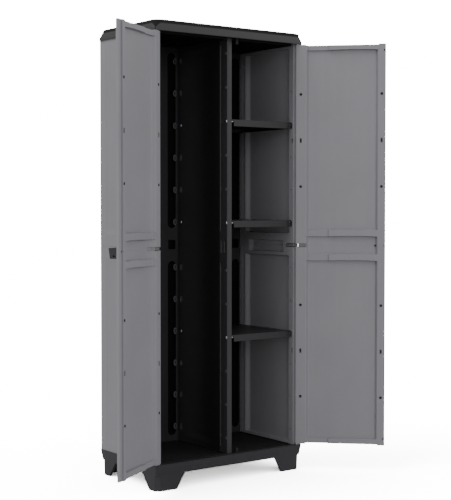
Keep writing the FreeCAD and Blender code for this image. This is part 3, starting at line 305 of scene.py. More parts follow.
# Painted shade: the deck inside the base is made near black and duller, for the shade inside the cabinet.
FOOT = MouldedResin("dark_base_resin", "base_resin", (0.028, 0.027, 0.031), 0.46, 0.00006, 0.08, 0.2,
                    inside=((-0.3468, -0.1785, 0.09), (0.3468, 0.1988, 0.102)))
SHELF = MouldedResin("shelf_resin", "shelf_resin", (0.0195, 0.0195, 0.0215), 0.47, 0.00004, 0.08, 0.1,
                     shine=0.36)
# Painted shade: the divider's broom side is made near black, fully at the front and fading out towards the
# rear.
POST = MouldedResin("divider_resin", "shelf_resin", (0.031, 0.031, 0.034), 0.5, 0.00004, 0.08, 0.1, 0.36,
                    ((-0.01, -0.117, 0.05), (0.0165, 0.19, 1.72)), (-0.085, 0.15))
# Near black: the door catches' own colour, and painted shade where it lines the moulded holes.
BLACK = MouldedResin("black_resin", "black_resin", (0.006, 0.006, 0.0072), 0.55, 0.00005, 0.1, 0.02, 0.3)
# Painted shade: the back walls' troughs, deeper than 1.8 mm, are made near black.
BACK = MouldedResin("back_wall_resin", "black_resin", (0.027, 0.027, 0.029), 0.5, 0.00005, 0.1, 0.02,
                    0.15, ((-0.33, 0.1738, 0.09), (0.33, 0.1872, 1.70)))
# Painted highlight: a lighter resin for the rims of the back walls' bosses and the divider's free holes, for
# the light that catches them.
PAINTED_HIGHLIGHT_RIM = MouldedResin("hole_rim_painted_highlight", "shelf_resin", (0.075, 0.075, 0.08), 0.42, 0.00003, shine=0.5)
HINGE = MouldedResin("hinge_resin", "grey_resin", (0.13, 0.13, 0.138), grain=0.00005, shine=0.4)
HANDLE = MouldedResin("handle_resin", "black_resin", (0.026, 0.026, 0.029), mottle=0.1, shine=0.4)
STEEL = PlatedSteel("plated_steel", "steel", (0.5, 0.5, 0.5))
DARK_STEEL = PlatedSteel("blackened_steel", "black_metal", (0.03, 0.03, 0.032), 0.5)


@cache
def material_of(finish: Finish) -> bpy.types.Material:
    """The material of a finish, made on first use."""
    return finish.build()


def soft_step(value: Array, low: float, high: float) -> Array:
    """A smooth rise from 0 at the low place to 1 at the high one: three squares minus two cubes."""
    share = np.clip((value - low) / (high - low), 0.0, 1.0)
    return share * share * (3.0 - 2.0 * share)


def between(value: Array, low: float, high: float, slope: float) -> Array:
    """1 between two places and 0 outside, with soft ramps of a given width inside both ends."""
    return soft_step(value, low, low + slope) * (1.0 - soft_step(value, high - slope, high))


def rounding(distance: Array, radius: float) -> Array:
    """How far a rounded edge drops at a distance from it: radius minus the quarter circle's height."""
    near = np.clip(radius - distance, 0.0, radius)
    return radius - np.sqrt(np.maximum(radius * radius - near * near, 0.0))


def pit(u: Array, v: Array, middle: Range, radius: float, depth: float, half_height: float = 0.0) -> Array:
    """The depth of a round pit, or of a slot with round ends along v.

    The distance is measured from the middle, or from the slot's middle line, and the wall
    falls smoothly from the depth to 0 within 15 per cent of the radius on each side.
    """
    along = np.maximum(np.abs(v - middle[1]) - half_height, 0.0)
    distance = np.hypot(u - middle[0], along)
    return depth * (1.0 - soft_step(distance, 0.85 * radius, 1.15 * radius))


def grid_lines(low: float, high: float, step: float, marks: Sequence[Mark]) -> Array:
    """Places along one direction of a grid, close together where the surface needs it.

    Args:
        low: The first place.
        high: The last place.
        step: The widest spacing.
        marks: Each a middle, a reach on both sides and the spacing within it.

    Returns:
        The sorted places, more than 0.02 mm apart.
    """
    places = [np.linspace(low, high, max(2, math.ceil((high - low) / step) + 1))]
    for middle, reach, fine in marks:
        places.append(np.linspace(middle - reach, middle + reach, max(2, math.ceil(2 * reach / fine) + 1)))
    merged = np.sort(np.concatenate(places))
    merged = merged[(merged >= low) & (merged <= high)]
    merged = merged[np.concatenate([[True], np.diff(merged) > 0.02])]
    merged[-1] = high
    return merged


def edge_marks(places: Sequence[float], radius: float = 1.6) -> list[Mark]:
    """Marks that put a few lines next to sharp borders."""
    return [(place, radius, radius / 4) for place in places]


def closed_mesh(name: str, points: Array, quads: Array) -> bpy.types.Mesh:
    """Makes a mesh, merges its doubled points and turns every face outwards.

    Args:
        name: The mesh's name.
        points: Places in metres.
        quads: Four point numbers for each face.

    Returns:
        The mesh.
    """
    made = bpy.data.meshes.new(name)
    made.from_pydata(points, [], quads)
    made.update()
    work = bmesh.new()
    work.from_mesh(made)
    bmesh.ops.remove_doubles(work, verts=work.verts, dist=MERGE_DISTANCE)
    bmesh.ops.recalc_face_normals(work, faces=work.faces)
    work.to_mesh(made)
    work.free()
    made.update()
    return made


@dataclass
class Slab:
    """A closed panel between two relief surfaces over one grid, in millimetres.

    Attributes:
        u: Places of the grid's first direction.
        v: Places of its second direction.
        near: Depth of the near surface at each grid point.
        far: Depth of the far surface at each grid point.
        kept: Which cells of the grid are there.
    """

    u: Array
    v: Array
    near: Array
    far: Array
    kept: Array

    def mesh(self, name: str, place: Place) -> bpy.types.Mesh:
        """Builds the mesh: both surfaces over the kept cells and a wall along every free side.

        Args:
            name: The mesh's name.
            place: Takes u, v and depth to points in metres.

        Returns:
            A closed mesh with its faces pointing outwards.
        """
        grid_u, grid_v = (side.ravel() for side in np.meshgrid(self.u, self.v, indexing="ij"))
        points = np.concatenate([place(grid_u, grid_v, depth.ravel()) for depth in (self.near, self.far)])
        lift = self.near.size
        index = np.arange(lift).reshape(self.near.shape)
        cells = np.stack([index[:-1, :-1], index[1:, :-1], index[1:, 1:], index[:-1, 1:]], axis=-1)
        front = cells[self.kept]
        faces = [front, front[:, ::-1] + lift]
        padded = np.pad(self.kept, 1)
        across = padded[1:, 1:-1] != padded[:-1, 1:-1]
        along = padded[1:-1, 1:] != padded[1:-1, :-1]
        for border, down, right in ((across, 0, 1), (along, 1, 0)):
            row, column = np.nonzero(border)
            first, second = index[row, column], index[row + down, column + right]
            faces.append(np.stack([first, second, second + lift, first + lift], axis=-1))
        quads = np.concatenate(faces)
        used, numbers = np.unique(quads, return_inverse=True)
        return closed_mesh(name, points[used], numbers.reshape(quads.shape))


def add_piece(name: str, made: bpy.types.Mesh, finish: Finish, body: str,
              stands_for: Sequence[str] = ()) -> bpy.types.Object:
    """Args:
        name: The piece's name.
        made: Its mesh.
        finish: Its finish, whose material is made once.
        body: The body that it rides on.
        stands_for: The solids that it replaces.

    Returns:
        The new object.
    """
    piece = bpy.data.objects.new(name, made)
    bpy.context.scene.collection.objects.link(piece)
    made.materials.clear()
    made.materials.append(material_of(finish))
    made.polygons.foreach_set("use_smooth", np.ones(len(made.polygons), dtype=bool))
    made.set_sharp_from_angle(angle=math.radians(SHARP_DEGREES))
    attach(piece, body)
    finish.slot
    if stands_for:
        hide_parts(*stands_for)
    LOG.info("%s: %d faces on %s", name, len(made.polygons), body)
    return piece


@dataclass(frozen=True)
class HoleLining:
    """A cup with a thin rim that lines one moulded hole, in the panel's own plan and millimetres.

    Attributes:
        u: Place along the panel.
        v: Height.
        radius: Radius of the hole.
        depth: Depth of the hole.
        half_height: Half of the straight part, for a slot.
        rim: Width of the rim, which stands out by 0.6 of it.
        turns: Number of points round the hole.
    """

    u: float
    v: float
    radius: float
    depth: float
    half_height: float = 0.0
    rim: float = 0.7
    turns: int = 20

    def profile(self) -> Array:
        """Radius and height over the surface of each ring, from the cup's underside to its floor."""
        radius, rim, floor = self.radius, self.rim, 0.6 - self.depth
        return np.array([
            (0.0, floor - 0.4), (radius - 0.9, floor - 0.4),
            (radius - 0.25, floor + 0.3), (radius - 0.25, -0.3),
            (radius + rim, -0.2), (radius + rim, rim * 0.3),
            (radius + rim * 0.6, rim * 0.6), (radius - 0.3, rim * 0.5),
            (radius - 0.7, -0.1), (radius - 0.9, floor + 0.6), (0.0, floor + 0.3),
        ])

    def rings(self) -> tuple[Array, Array]:
        """Points as plan, height and height over the surface, and the quads between the rings."""
        angle = (np.arange(self.turns) + 0.5) * (2 * math.pi / self.turns)
        rings = self.profile()
        along_u = self.u + rings[:, :1] * np.cos(angle)
        along_v = self.v + rings[:, :1] * np.sin(angle) + self.half_height * np.sign(np.sin(angle))
        over = np.repeat(rings[:, 1:], self.turns, axis=1)
        points = np.stack([along_u, along_v, over], axis=-1).reshape(-1, 3)
        index = np.arange(len(points)).reshape(len(rings), self.turns)
        following = np.roll(index, -1, axis=1)
        quads = np.stack([index[:-1], following[:-1], following[1:], index[1:]], axis=-1)
        return points, quads.reshape(-1, 4)


@dataclass(frozen=True)
class PegEnd(HoleLining):
    """The rounded end of a shelf peg, which stands out from its hole."""

    def profile(self) -> Array:
        """Radius and height over the surface, from the shank up to the dome's top."""
        radius = self.radius
        return np.array([
            (0.0, -3.0), (radius * 0.8, -3.0), (radius * 0.8, -0.2), (radius, 0.0), (radius, 1.2),
            (radius * 0.86, 2.2), (radius * 0.5, 3.0), (0.0, 3.3),
        ])


def add_linings(name: str, body: str, linings: Sequence[HoleLining], surface: float, outwards: float,
                place: Place, finish: Finish = BLACK) -> None:
    """Adds the linings of one panel as a single piece.

    Args:
        name: The piece's name.
        body: The body that it rides on.
        linings: One lining for each hole.
        surface: Depth of the panel's surface.
        outwards: Sign of the depth that leads away from the panel.
        place: Takes the panel's plan, height and depth to points in metres.
        finish: The finish, by default near black as painted shade for the holes' dark insides.
    """
    points: list[Array] = []
    quads: list[Array] = []
    count = 0
    for lining in linings:
        own, faces = lining.rings()
        points.append(own)
        quads.append(faces + count)
        count += len(own)
    u, v, over = np.concatenate(points).T
    add_piece(name, closed_mesh(name, place(u, v, surface + outwards * over), np.concatenate(quads)),
              finish, body)


class Part(Enum):
    """A part of the cabinet, whose name in lower case is used in the names of its pieces."""

    @property
    def word(self) -> str:
        """The name in lower case."""
        return self.name.lower()


class Side(Part):
    """Which side of the cabinet a piece belongs to, as its sign along x."""

    LEFT = -1
    RIGHT = 1


class Half(Part):
    """Lower or upper half of the cabinet, as the sign of its direction from the joint."""

    LOWER = -1
    UPPER = 1

    def pick(self, lower: Any, upper: Any) -> Any:
        """The first value for the lower half, and the second for the upper one."""
        return upper if self is Half.UPPER else lower


@dataclass(frozen=True)
class CabinetSizes:
    """Sizes that the panels share, in millimetres."""

    joint: float = 897.8
    deck_top: float = 96.0
    panel_top: float = 1696.9
    cover_bottom: float = 1693.4
    panel_front: float = -177.7
    panel_rear: float = 198.0
    panel_inner: float = 321.0
    panel_outer: float = 346.0
    back_inner: float = 172.0
    back_outer: float = 190.0
    peg_first: float = 91.3
    peg_pitch: float = 129.7
    peg_front: float = -160.7
    peg_back: float = 146.0
    peg_hole: float = 3.2
    pegs_used: tuple[tuple[Half, int], ...] = ((Half.LOWER, 2), (Half.UPPER, 0), (Half.UPPER, 3))
    hinge_x: float = 330.6
    hinge_y: float = -189.0

    def span(self, half: Half) -> Range:
        """Lowest and highest place of one half of the walls."""
        return half.pick((self.deck_top, self.joint), (self.joint, self.panel_top))

    def peg_levels(self, half: Half) -> list[float]:
        """Heights of the peg holes in one half."""
        return [self.joint + half.value * (self.peg_first + self.peg_pitch * i) for i in range(6)]

    def levels_used(self, half: Half) -> list[float]:
        """Heights of the pegs that carry a shelf in one half."""
        return [self.peg_levels(half)[index] for used, index in self.pegs_used if used is half]

    def hole_level(self, half: Half, index: int) -> float:
        """Height of a moulded hole in a panel's edge, counted away from the joint."""
        first, pitch = half.pick((237.2, 182.8), (233.2, 182.2))
        return self.joint + half.value * (first + pitch * index)


SIZES = CabinetSizes()


@dataclass
class Panel:
    """Half of one moulded panel, with two surfaces over a grid of places along it and heights.

    A kind of panel says where its grid lines and its two surfaces lie, how its plan is placed in
    the frame and what details it has. Its sizes are in millimetres.
    """

    half: Half
    finish: ClassVar[Finish] = GREY
    body: ClassVar[str] = "cabinet"
    title: ClassVar[str] = ""

    @property
    def name(self) -> str:
        """The name of the solid that it stands for, from the title and the panel's side and half."""
        return self.title.format(self)

    def build(self) -> None:
        """Makes the panel and its details and hangs them on their body."""
        name = self.name
        along, heights = self.lines()
        near, far = self.surfaces(*np.meshgrid(along, heights, indexing="ij"))
        slab = Slab(along, heights, near, far, self.kept(along, heights))
        add_piece(f"{name}_panel", slab.mesh(name, self.place), self.finish, self.body, [name])
        self.add_details()

    def kept(self, along: Array, heights: Array) -> Array:
        """Which cells of the grid are there: all of them, unless the panel has notches."""
        return np.ones((len(along) - 1, len(heights) - 1), dtype=bool)


@dataclass
class SideWall(Panel):
    """Half of one side wall, with its edges, field, mid band and grip, in millimetres."""

    side: Side
    title: ClassVar[str] = "{0.side.word}_side_{0.half.word}"
    stile_end: float = -149.4
    stile_slope: float = 8.0
    rear_slope: Range = (114.5, 140.0)
    channel: Range = (141.8, 158.8)
    channel_inset: float = 14.0
    channel_depth: float = 0.8
    recess: float = 12.0
    grip_middle: float = -10.5
    grip_below: float = 29.0
    grip_above: float = 19.0
    grip_depth: float = 9.0
    joint_pit: float = -121.5
    plate_end: float = -127.2
    plate_half_height: float = 7.4
    plate_seat: float = 13.2
    shelf_notch: Range = (-170.0, -144.0)
    slot_inset: float = 6.7
    top_cut: float = 17.0
    cover_clearance: float = 0.5

    @property
    def slot(self) -> Range:
        """Place along y and height of the moulded slot in the front stile."""
        return SIZES.panel_front + self.slot_inset, SIZES.hole_level(self.half, 1)

    def lines(self) -> tuple[Array, Array]:
        """Grid lines along y and in height."""
        joint, low, high = SIZES.joint, *SIZES.span(self.half)
        front, rear = SIZES.panel_front, SIZES.panel_rear
        rails = self.half.pick((low + 14, joint - 43), (joint + 49, high - 18))
        levels = SIZES.levels_used(self.half)
        y = grid_lines(front, rear, 15.0, [
            *edge_marks([front, rear, *self.channel]), (rear - 4, 4.0, 1.0), (self.joint_pit, 5.4, 0.9),
            (self.stile_end + 4, 5, 1.3), (sum(self.rear_slope) / 2, 13.5, 1.9), (self.slot[0], 3.0, 0.75),
            (SIZES.peg_front, 4.4, 0.75), (SIZES.peg_back, 4.4, 0.75), (self.plate_end - 0.1, 0.4, 0.4),
            (self.grip_middle - 102, 4.5, 1.1), (self.grip_middle + 112, 17.0, 2.4),
            (self.shelf_notch[0] + 1, 2.4, 0.8), (rear - self.top_cut, 0.4, 0.4),
        ])
        z = grid_lines(low, high, 26.0, [
            *edge_marks([low, high]), *((level, 4.4, 0.75) for level in SIZES.peg_levels(self.half)),
            *((level - 17.2, 2.2, 0.8) for level in levels), *((level + 4.4, 2.2, 0.8) for level in levels),
            *((rail, 3.5, 0.9) for rail in rails), (self.slot[1], 8.5, 1.0), (joint, 8.4, 0.8),
            (joint + self.grip_above - 1, 3.0, 0.8), (joint - self.grip_below + 1, 3.0, 0.8),
            (SIZES.cover_bottom - self.cover_clearance, 0.2, 0.2),
        ])
        return y, z

    def surfaces(self, y: Array, z: Array) -> tuple[Array, Array]:
        """The inner face with the hinge plate's seat, and the outer one with its corner cut at the top."""
        front, rear = y - SIZES.panel_front, SIZES.panel_rear - y
        seam = np.abs(z - SIZES.joint)
        inner = SIZES.panel_inner + self.relief(y, z)
        plate = (y < self.plate_end) & (seam < self.plate_half_height)
        inner = np.where(plate, SIZES.panel_inner + self.plate_seat, inner)
        inner += rounding(front, 1.2) + rounding(rear, 1.2)
        inner += rounding(seam, 0.9)
        outer = SIZES.panel_outer - rounding(front, 1.6) - rounding(rear, 4.0)
        outer -= rounding(seam, 0.9)
        outer -= self.outer_relief(y, z)
        cut = np.maximum(y - (SIZES.panel_rear - self.top_cut), 0.0)
        cut = np.where(z > SIZES.cover_bottom - self.cover_clearance, cut, 0.0)
        return inner, np.minimum(outer, SIZES.panel_outer - cut)

    def relief(self, y: Array, z: Array) -> Array:
        """Depth of the inner surface: the recess, the channel, the grip and the holes together."""
        joint, low, high = SIZES.joint, *SIZES.span(self.half)
        field = soft_step(y, self.stile_end, self.stile_end + self.stile_slope)
        field = field * (1 - soft_step(y, *self.rear_slope))
        field = field * between(z, *self.half.pick((low + 13, joint - 41), (joint + 47, high - 17)), 3)
        channel = between(z, low + self.channel_inset, high - self.channel_inset, 2.0)
        channel = channel * between(y, *self.channel, 5.0)
        depth = np.maximum(self.recess * field, self.channel_depth * channel)
        bottom, top = joint - self.grip_below, joint + self.grip_above
        slant = np.interp(z, [bottom, top], [103.5, 101.5])
        from_middle = y - self.grip_middle
        grip = np.minimum(soft_step(slant + from_middle, 0.0, 3.0), between(z, bottom, top, 2.5))
        grip = grip * soft_step(slant - from_middle, -26.0, 4.0)
        depth = depth + self.grip_depth * grip * (1 - field)
        depth = np.maximum(depth, pit(y, z, (self.joint_pit, joint), 4.2, 11.0))
        for level in SIZES.peg_levels(self.half):
            for middle, hole_depth in ((SIZES.peg_front, 8.0), (SIZES.peg_back, 10.0)):
                depth = np.maximum(depth, pit(y, z, (middle, level), SIZES.peg_hole, hole_depth))
        for level in SIZES.levels_used(self.half):
            notch = between(y, *self.shelf_notch, 1.5) * between(z, level - 18.0, level + 5.0, 1.5)
            depth = np.maximum(depth, self.recess * notch)
        return np.maximum(depth, pit(y, z, self.slot, 2.0, 8.0, 5.0))

    def outer_relief(self, y: Array, z: Array) -> Array:
        """A shallow field in the outer face with soft borders, 1.4 mm deep."""
        low, high = SIZES.span(self.half)
        below, above = self.half.pick((40.0, 46.0), (46.0, 40.0))
        tall = between(z, low + below, high - above, 14.0)
        return 1.4 * tall * between(y, SIZES.panel_front + 36, SIZES.panel_rear - 40, 14.0)

    def place(self, y: Array, z: Array, depth: Array) -> Array:
        """Points in metres, with the depth along x to the wall's own side."""
        return np.stack([self.side.value * depth, y, z], axis=-1) * MM

    def add_details(self) -> None:
        """Lines the moulded slot with a near-black cup, painted shade for its dark inside."""
        add_linings(f"{self.name}_slot_lining", self.body, [HoleLining(*self.slot, 3.0, 7.5, 5.5)],
                    SIZES.panel_inner, -1.0, self.place)


@dataclass
class BackWall(Panel):
    """Half of one back wall: upright troughs inside and shallow flutes outside, in millimetres.

    The band is the height of the solid part beside the joint, up to the troughs and up to the
    edge of the pockets.
    """

    side: Side
    finish: ClassVar[Finish] = BACK
    title: ClassVar[str] = "back_{0.side.word}_{0.half.word}"
    divider_middle: float = 13.6
    frame: float = 25.0
    width: float = 41.0
    by_wall: float = 4.0
    by_divider: float = 18.6
    band: Range = (66.0, 19.0)
    depth: float = 14.0
    flute_count: int = 3
    flute_slope: float = 14.0
    wall_hole: Range = (206.0, 1599.4)

    @property
    def hole(self) -> Range:
        """Place along x and height of the hole for a wall screw."""
        return self.side.value * self.wall_hole[0], self.wall_hole[1]

    def ends(self) -> Range:
        """The left and right edge of this panel."""
        if self.side is Side.LEFT:
            return 0.5 - SIZES.panel_inner, self.divider_middle
        return self.divider_middle, SIZES.panel_inner - 0.5

    def troughs(self) -> list[Range]:
        """Ranges along x of the four troughs, evenly spread between the panel's two margins."""
        left, right = self.ends()
        margins = (self.by_wall, self.by_divider)
        before, after = margins if self.side is Side.LEFT else margins[::-1]
        step = (right - after - self.width - left - before) / 3
        return [(left + before + step * i, left + before + step * i + self.width) for i in range(4)]

    def inner_trough(self) -> Range:
        """Range of the trough next to the divider."""
        return self.troughs()[3 if self.side is Side.LEFT else 0]

    def boss_line(self) -> float:
        """Where along x the bosses stand, in the trough next to the divider."""
        start, end = self.inner_trough()
        return end - 7 if self.side is Side.LEFT else start + 7

    def grooves(self) -> list[float]:
        """Where along x a narrow groove runs, midway between two troughs."""
        troughs = self.troughs()
        return [(start + end) / 2 for (_, start), (end, _) in zip(troughs, troughs[1:])]

    def trough_ends(self) -> Range:
        """Lowest and highest place of the troughs, which stop at a solid band beside the joint."""
        low, high = SIZES.span(self.half)
        below, above = self.half.pick((self.frame, self.band[0]), (self.band[0], self.frame))
        return low + below, high - above

    def flutes(self) -> list[Range]:
        """Ranges along x of the flutes in the outer face."""
        left, right = self.ends()
        pitch = (right - left - 2 * self.frame - 16) / self.flute_count
        starts = [left + self.frame + 8 + pitch * i for i in range(self.flute_count)]
        return [(start, start + pitch) for start in starts]

    def lines(self) -> tuple[Array, Array]:
        """Grid lines along x and in height."""
        low, high = SIZES.span(self.half)
        left, right = self.ends()
        x_marks = [*edge_marks([left, right]), (self.hole[0], 5.5, 0.8),
                   (sum(self.inner_trough()) / 2, 20.0, 2.4), *((line, 3.2, 0.8) for line in self.grooves())]
        for start, end in self.troughs():
            x_marks += [(start + 2.5, 4.0, 1.0), (end - 2.5, 4.0, 1.0), ((start + end) / 2, 14.0, 4.0)]
        for start, end in self.flutes():
            x_marks += [(start + 7.0, 7.5, 1.9), (end - 7.0, 7.5, 1.9)]
        bottom, top = self.trough_ends()
        z = grid_lines(low, high, 30.0, [
            *edge_marks([low, high]), (bottom + 11, 12.0, 1.5), (top - 11, 12.0, 1.5),
            (low + self.frame + 17, 11.0, 2.2), (high - self.frame - 17, 11.0, 2.2),
            *((SIZES.joint + side.value * (self.band[1] - 1.5), 3.0, 0.8) for side in Side),
            *((level, 10.0, 2.4) for level in SIZES.peg_levels(self.half)), (self.hole[1], 5.5, 0.8),
        ])
        return grid_lines(left, right, 16.0, x_marks), z

    def surfaces(self, x: Array, z: Array) -> tuple[Array, Array]:
        """The inner face with its troughs, and the outer one with its flutes and the wall hole."""
        low, high = SIZES.span(self.half)
        left, right = self.ends()
        seam = np.abs(z - SIZES.joint)
        inner = SIZES.back_inner + self.relief(x, z) + rounding(seam, 0.5)
        outer = SIZES.back_outer - rounding(seam, 0.9) - rounding(x - left, 1.0) - rounding(right - x, 1.0)
        tall = between(z, low + self.frame + 7, high - self.frame - 7, 20.0)
        for start, end in self.flutes():
            outer = outer - 1.6 * tall * between(x, start, end, self.flute_slope)
        if self.half is Half.UPPER:
            outer = outer - pit(x, z, self.hole, 4.0, 1.2)
        return inner, outer

    def relief(self, x: Array, z: Array) -> Array:
        """Depth of the inner face: slots with sloping walls, pockets at the joint, bosses and grooves.

        The distance to a trough's middle line gives its depth. A pocket lies between two troughs of
        one line. Round bosses fill the trough next to the divider up at the level of each peg.
        """
        depth = np.zeros_like(x)
        radius = self.width / 2
        low, high = self.trough_ends()
        beyond = np.maximum(np.maximum(low + radius - z, z - high + radius), 0.0)
        by_joint = 1 - soft_step(np.abs(z - SIZES.joint), self.band[1] - 3, self.band[1])
        for start, end in self.troughs():
            pocket = between(x, start + 3, end - 3, 3.0) * by_joint
            trough = 1 - soft_step(np.hypot(x - (start + end) / 2, beyond), radius - 5.0, radius)
            depth = np.maximum(depth, self.depth * np.maximum(pocket, trough))
        for level in SIZES.peg_levels(self.half):
            ring = np.hypot(x - self.boss_line(), z - level)
            boss = 1 - soft_step(ring, 7.0, 10.0)
            depth = depth * (1 - boss) - 2.5 * boss * soft_step(ring, 3.0, 5.0)
        for groove in self.grooves():
            depth = np.maximum(depth, 1.4 * (1 - soft_step(np.abs(x - groove), 1.0, 2.6)))
        return depth

    def place(self, x: Array, z: Array, depth: Array) -> Array:
        """Points in metres, with the depth along y."""
        return np.stack([x, depth, z], axis=-1) * MM

    def add_details(self) -> None:
        """Adds the rims round the bosses' holes, lighter as a painted highlight."""
        line = self.boss_line()
        rims = [HoleLining(line, level, 4.0, 5.0, 6.0, 3.0) for level in SIZES.peg_levels(self.half)]
        add_linings(f"{self.name}_boss_rims", self.body, rims, SIZES.back_inner - 2.0, -1.0, self.place, PAINTED_HIGHLIGHT_RIM)


@dataclass
class Divider(Panel):
    """Half of the divider, with a wide hollow, a groove and peg holes, in millimetres."""

    finish: ClassVar[Finish] = POST
    title: ClassVar[str] = "divider_{0.half.word}"
    left: float = 2.2
    right: float = 25.0
    front: float = -165.7
    rail: float = 25.0
    groove: Range = (33.0, 45.0)
    groove_depth: float = 10.0
    broom_hollow: float = 12.0
    shelf_hollow: float = 3.5

    def lines(self) -> tuple[Array, Array]:
        """Grid lines along y and in height."""
        front, joint, low, high = self.front, SIZES.joint, *SIZES.span(self.half)
        y = grid_lines(front, SIZES.back_inner, 7.0, [
            *edge_marks([front]), (SIZES.peg_front, 4.4, 0.75), (SIZES.peg_back, 11.5, 1.0),
            *((front + side, 3.2, 0.7) for side in (self.groove[0] + 1, self.groove[1] - 1)),
            (front + 26, 17.0, 0.9),
        ])
        z = grid_lines(low, high, 30.0, [
            *edge_marks([low, high]), (low + self.rail + 11, 12.0, 2.4), (high - self.rail - 11, 12.0, 2.4),
            (joint, 18.0, 1.5), (joint - 63, 5.0, 1.2), (joint + 63, 5.0, 1.2),
            *((level, 11.5, 1.0) for level in SIZES.peg_levels(self.half)),
        ])
        return y, z

    def surfaces(self, y: Array, z: Array) -> tuple[Array, Array]:
        """The broom side and the shelf side, both with a rounded front edge."""
        edge = rounding(y - self.front, 2.2) + rounding(np.abs(z - SIZES.joint), 0.5)
        broom_side = self.left + self.relief(y, z, self.broom_hollow) + edge
        return broom_side, self.right - self.relief(y, z, self.shelf_hollow) - edge

    def relief(self, y: Array, z: Array, deepest: float) -> Array:
        """Depth of one face: the hollow, the groove with its bosses, the joint's ribs and the holes.

        The hollow is deepest 190 mm behind the front edge. It rises to the front edge's post in
        136 mm and to the rear in 134 mm. The groove is filled up to a third at each peg level.

        Args:
            y: Places along the cabinet's depth.
            z: Heights.
            deepest: Depth of the hollow.

        Returns:
            The depth at each place.
        """
        post, lowest, back = self.front + 54, self.front + 190, SIZES.back_inner - 14
        ends = self.half.pick((SIZES.deck_top + self.rail, SIZES.joint + 500),
                              (SIZES.joint - 500, SIZES.panel_top - self.rail))
        depth = deepest * between(z, *ends, 22.0) * soft_step(y, post, lowest)
        depth = depth * (1 - soft_step(y, lowest, back))
        joint = np.abs(z - SIZES.joint)
        start, end = self.front + self.groove[0], self.front + self.groove[1]
        groove = self.groove_depth * between(z, *ends, 6.0) * between(y, start, end, 2.0)
        groove = groove * soft_step(joint, 60.0, 66.0)
        for level in SIZES.peg_levels(self.half):
            groove = groove * (1 - 0.7 * (1 - soft_step(np.abs(z - level), 5.0, 11.0)))
        depth = np.maximum(depth, groove)
        for offset in (16.0, 36.0):
            line = 1 - soft_step(np.abs(y - self.front - offset), 2.6, 4.8)
            depth = np.maximum(depth, 6.0 * line * (1 - soft_step(joint, 20.0, 23.0)))
        for level in SIZES.peg_levels(self.half):
            ring = np.hypot(y - SIZES.peg_back, z - level)
            depth = depth - 1.6 * soft_step(ring, 3.4, 5.2) * (1 - soft_step(ring, 8.4, 11.4))
            for middle in (SIZES.peg_front, SIZES.peg_back):
                depth = np.maximum(depth, pit(y, z, (middle, level), SIZES.peg_hole, 7.0))
        return depth

    def place(self, y: Array, z: Array, depth: Array) -> Array:
        """Points in metres, with the depth along x."""
        return np.stack([depth, y, z], axis=-1) * MM

    def add_details(self) -> None:
        """Adds the ends of the pegs, and lighter rims, a painted highlight, on the holes that have none."""
        used = SIZES.levels_used(self.half)
        free = [level for level in SIZES.peg_levels(self.half) if level not in used]
        ends = [PegEnd(middle, level, 4.2, 0.0, 2.0) for level in used
                for middle in (SIZES.peg_front, SIZES.peg_back)]
        rims = [HoleLining(SIZES.peg_front, level, 3.2, 6.0, 1.5, 1.6) for level in free]
        rims += [HoleLining(SIZES.peg_back, level, 4.2, 6.0, 6.0, 2.4) for level in free]
        add_linings(f"{self.name}_peg_ends", self.body, ends, self.left, -1.0, self.place, STEEL)
        add_linings(f"{self.name}_peg_rims", self.body, rims, self.left - 1.2, -1.0, self.place, PAINTED_HIGHLIGHT_RIM)


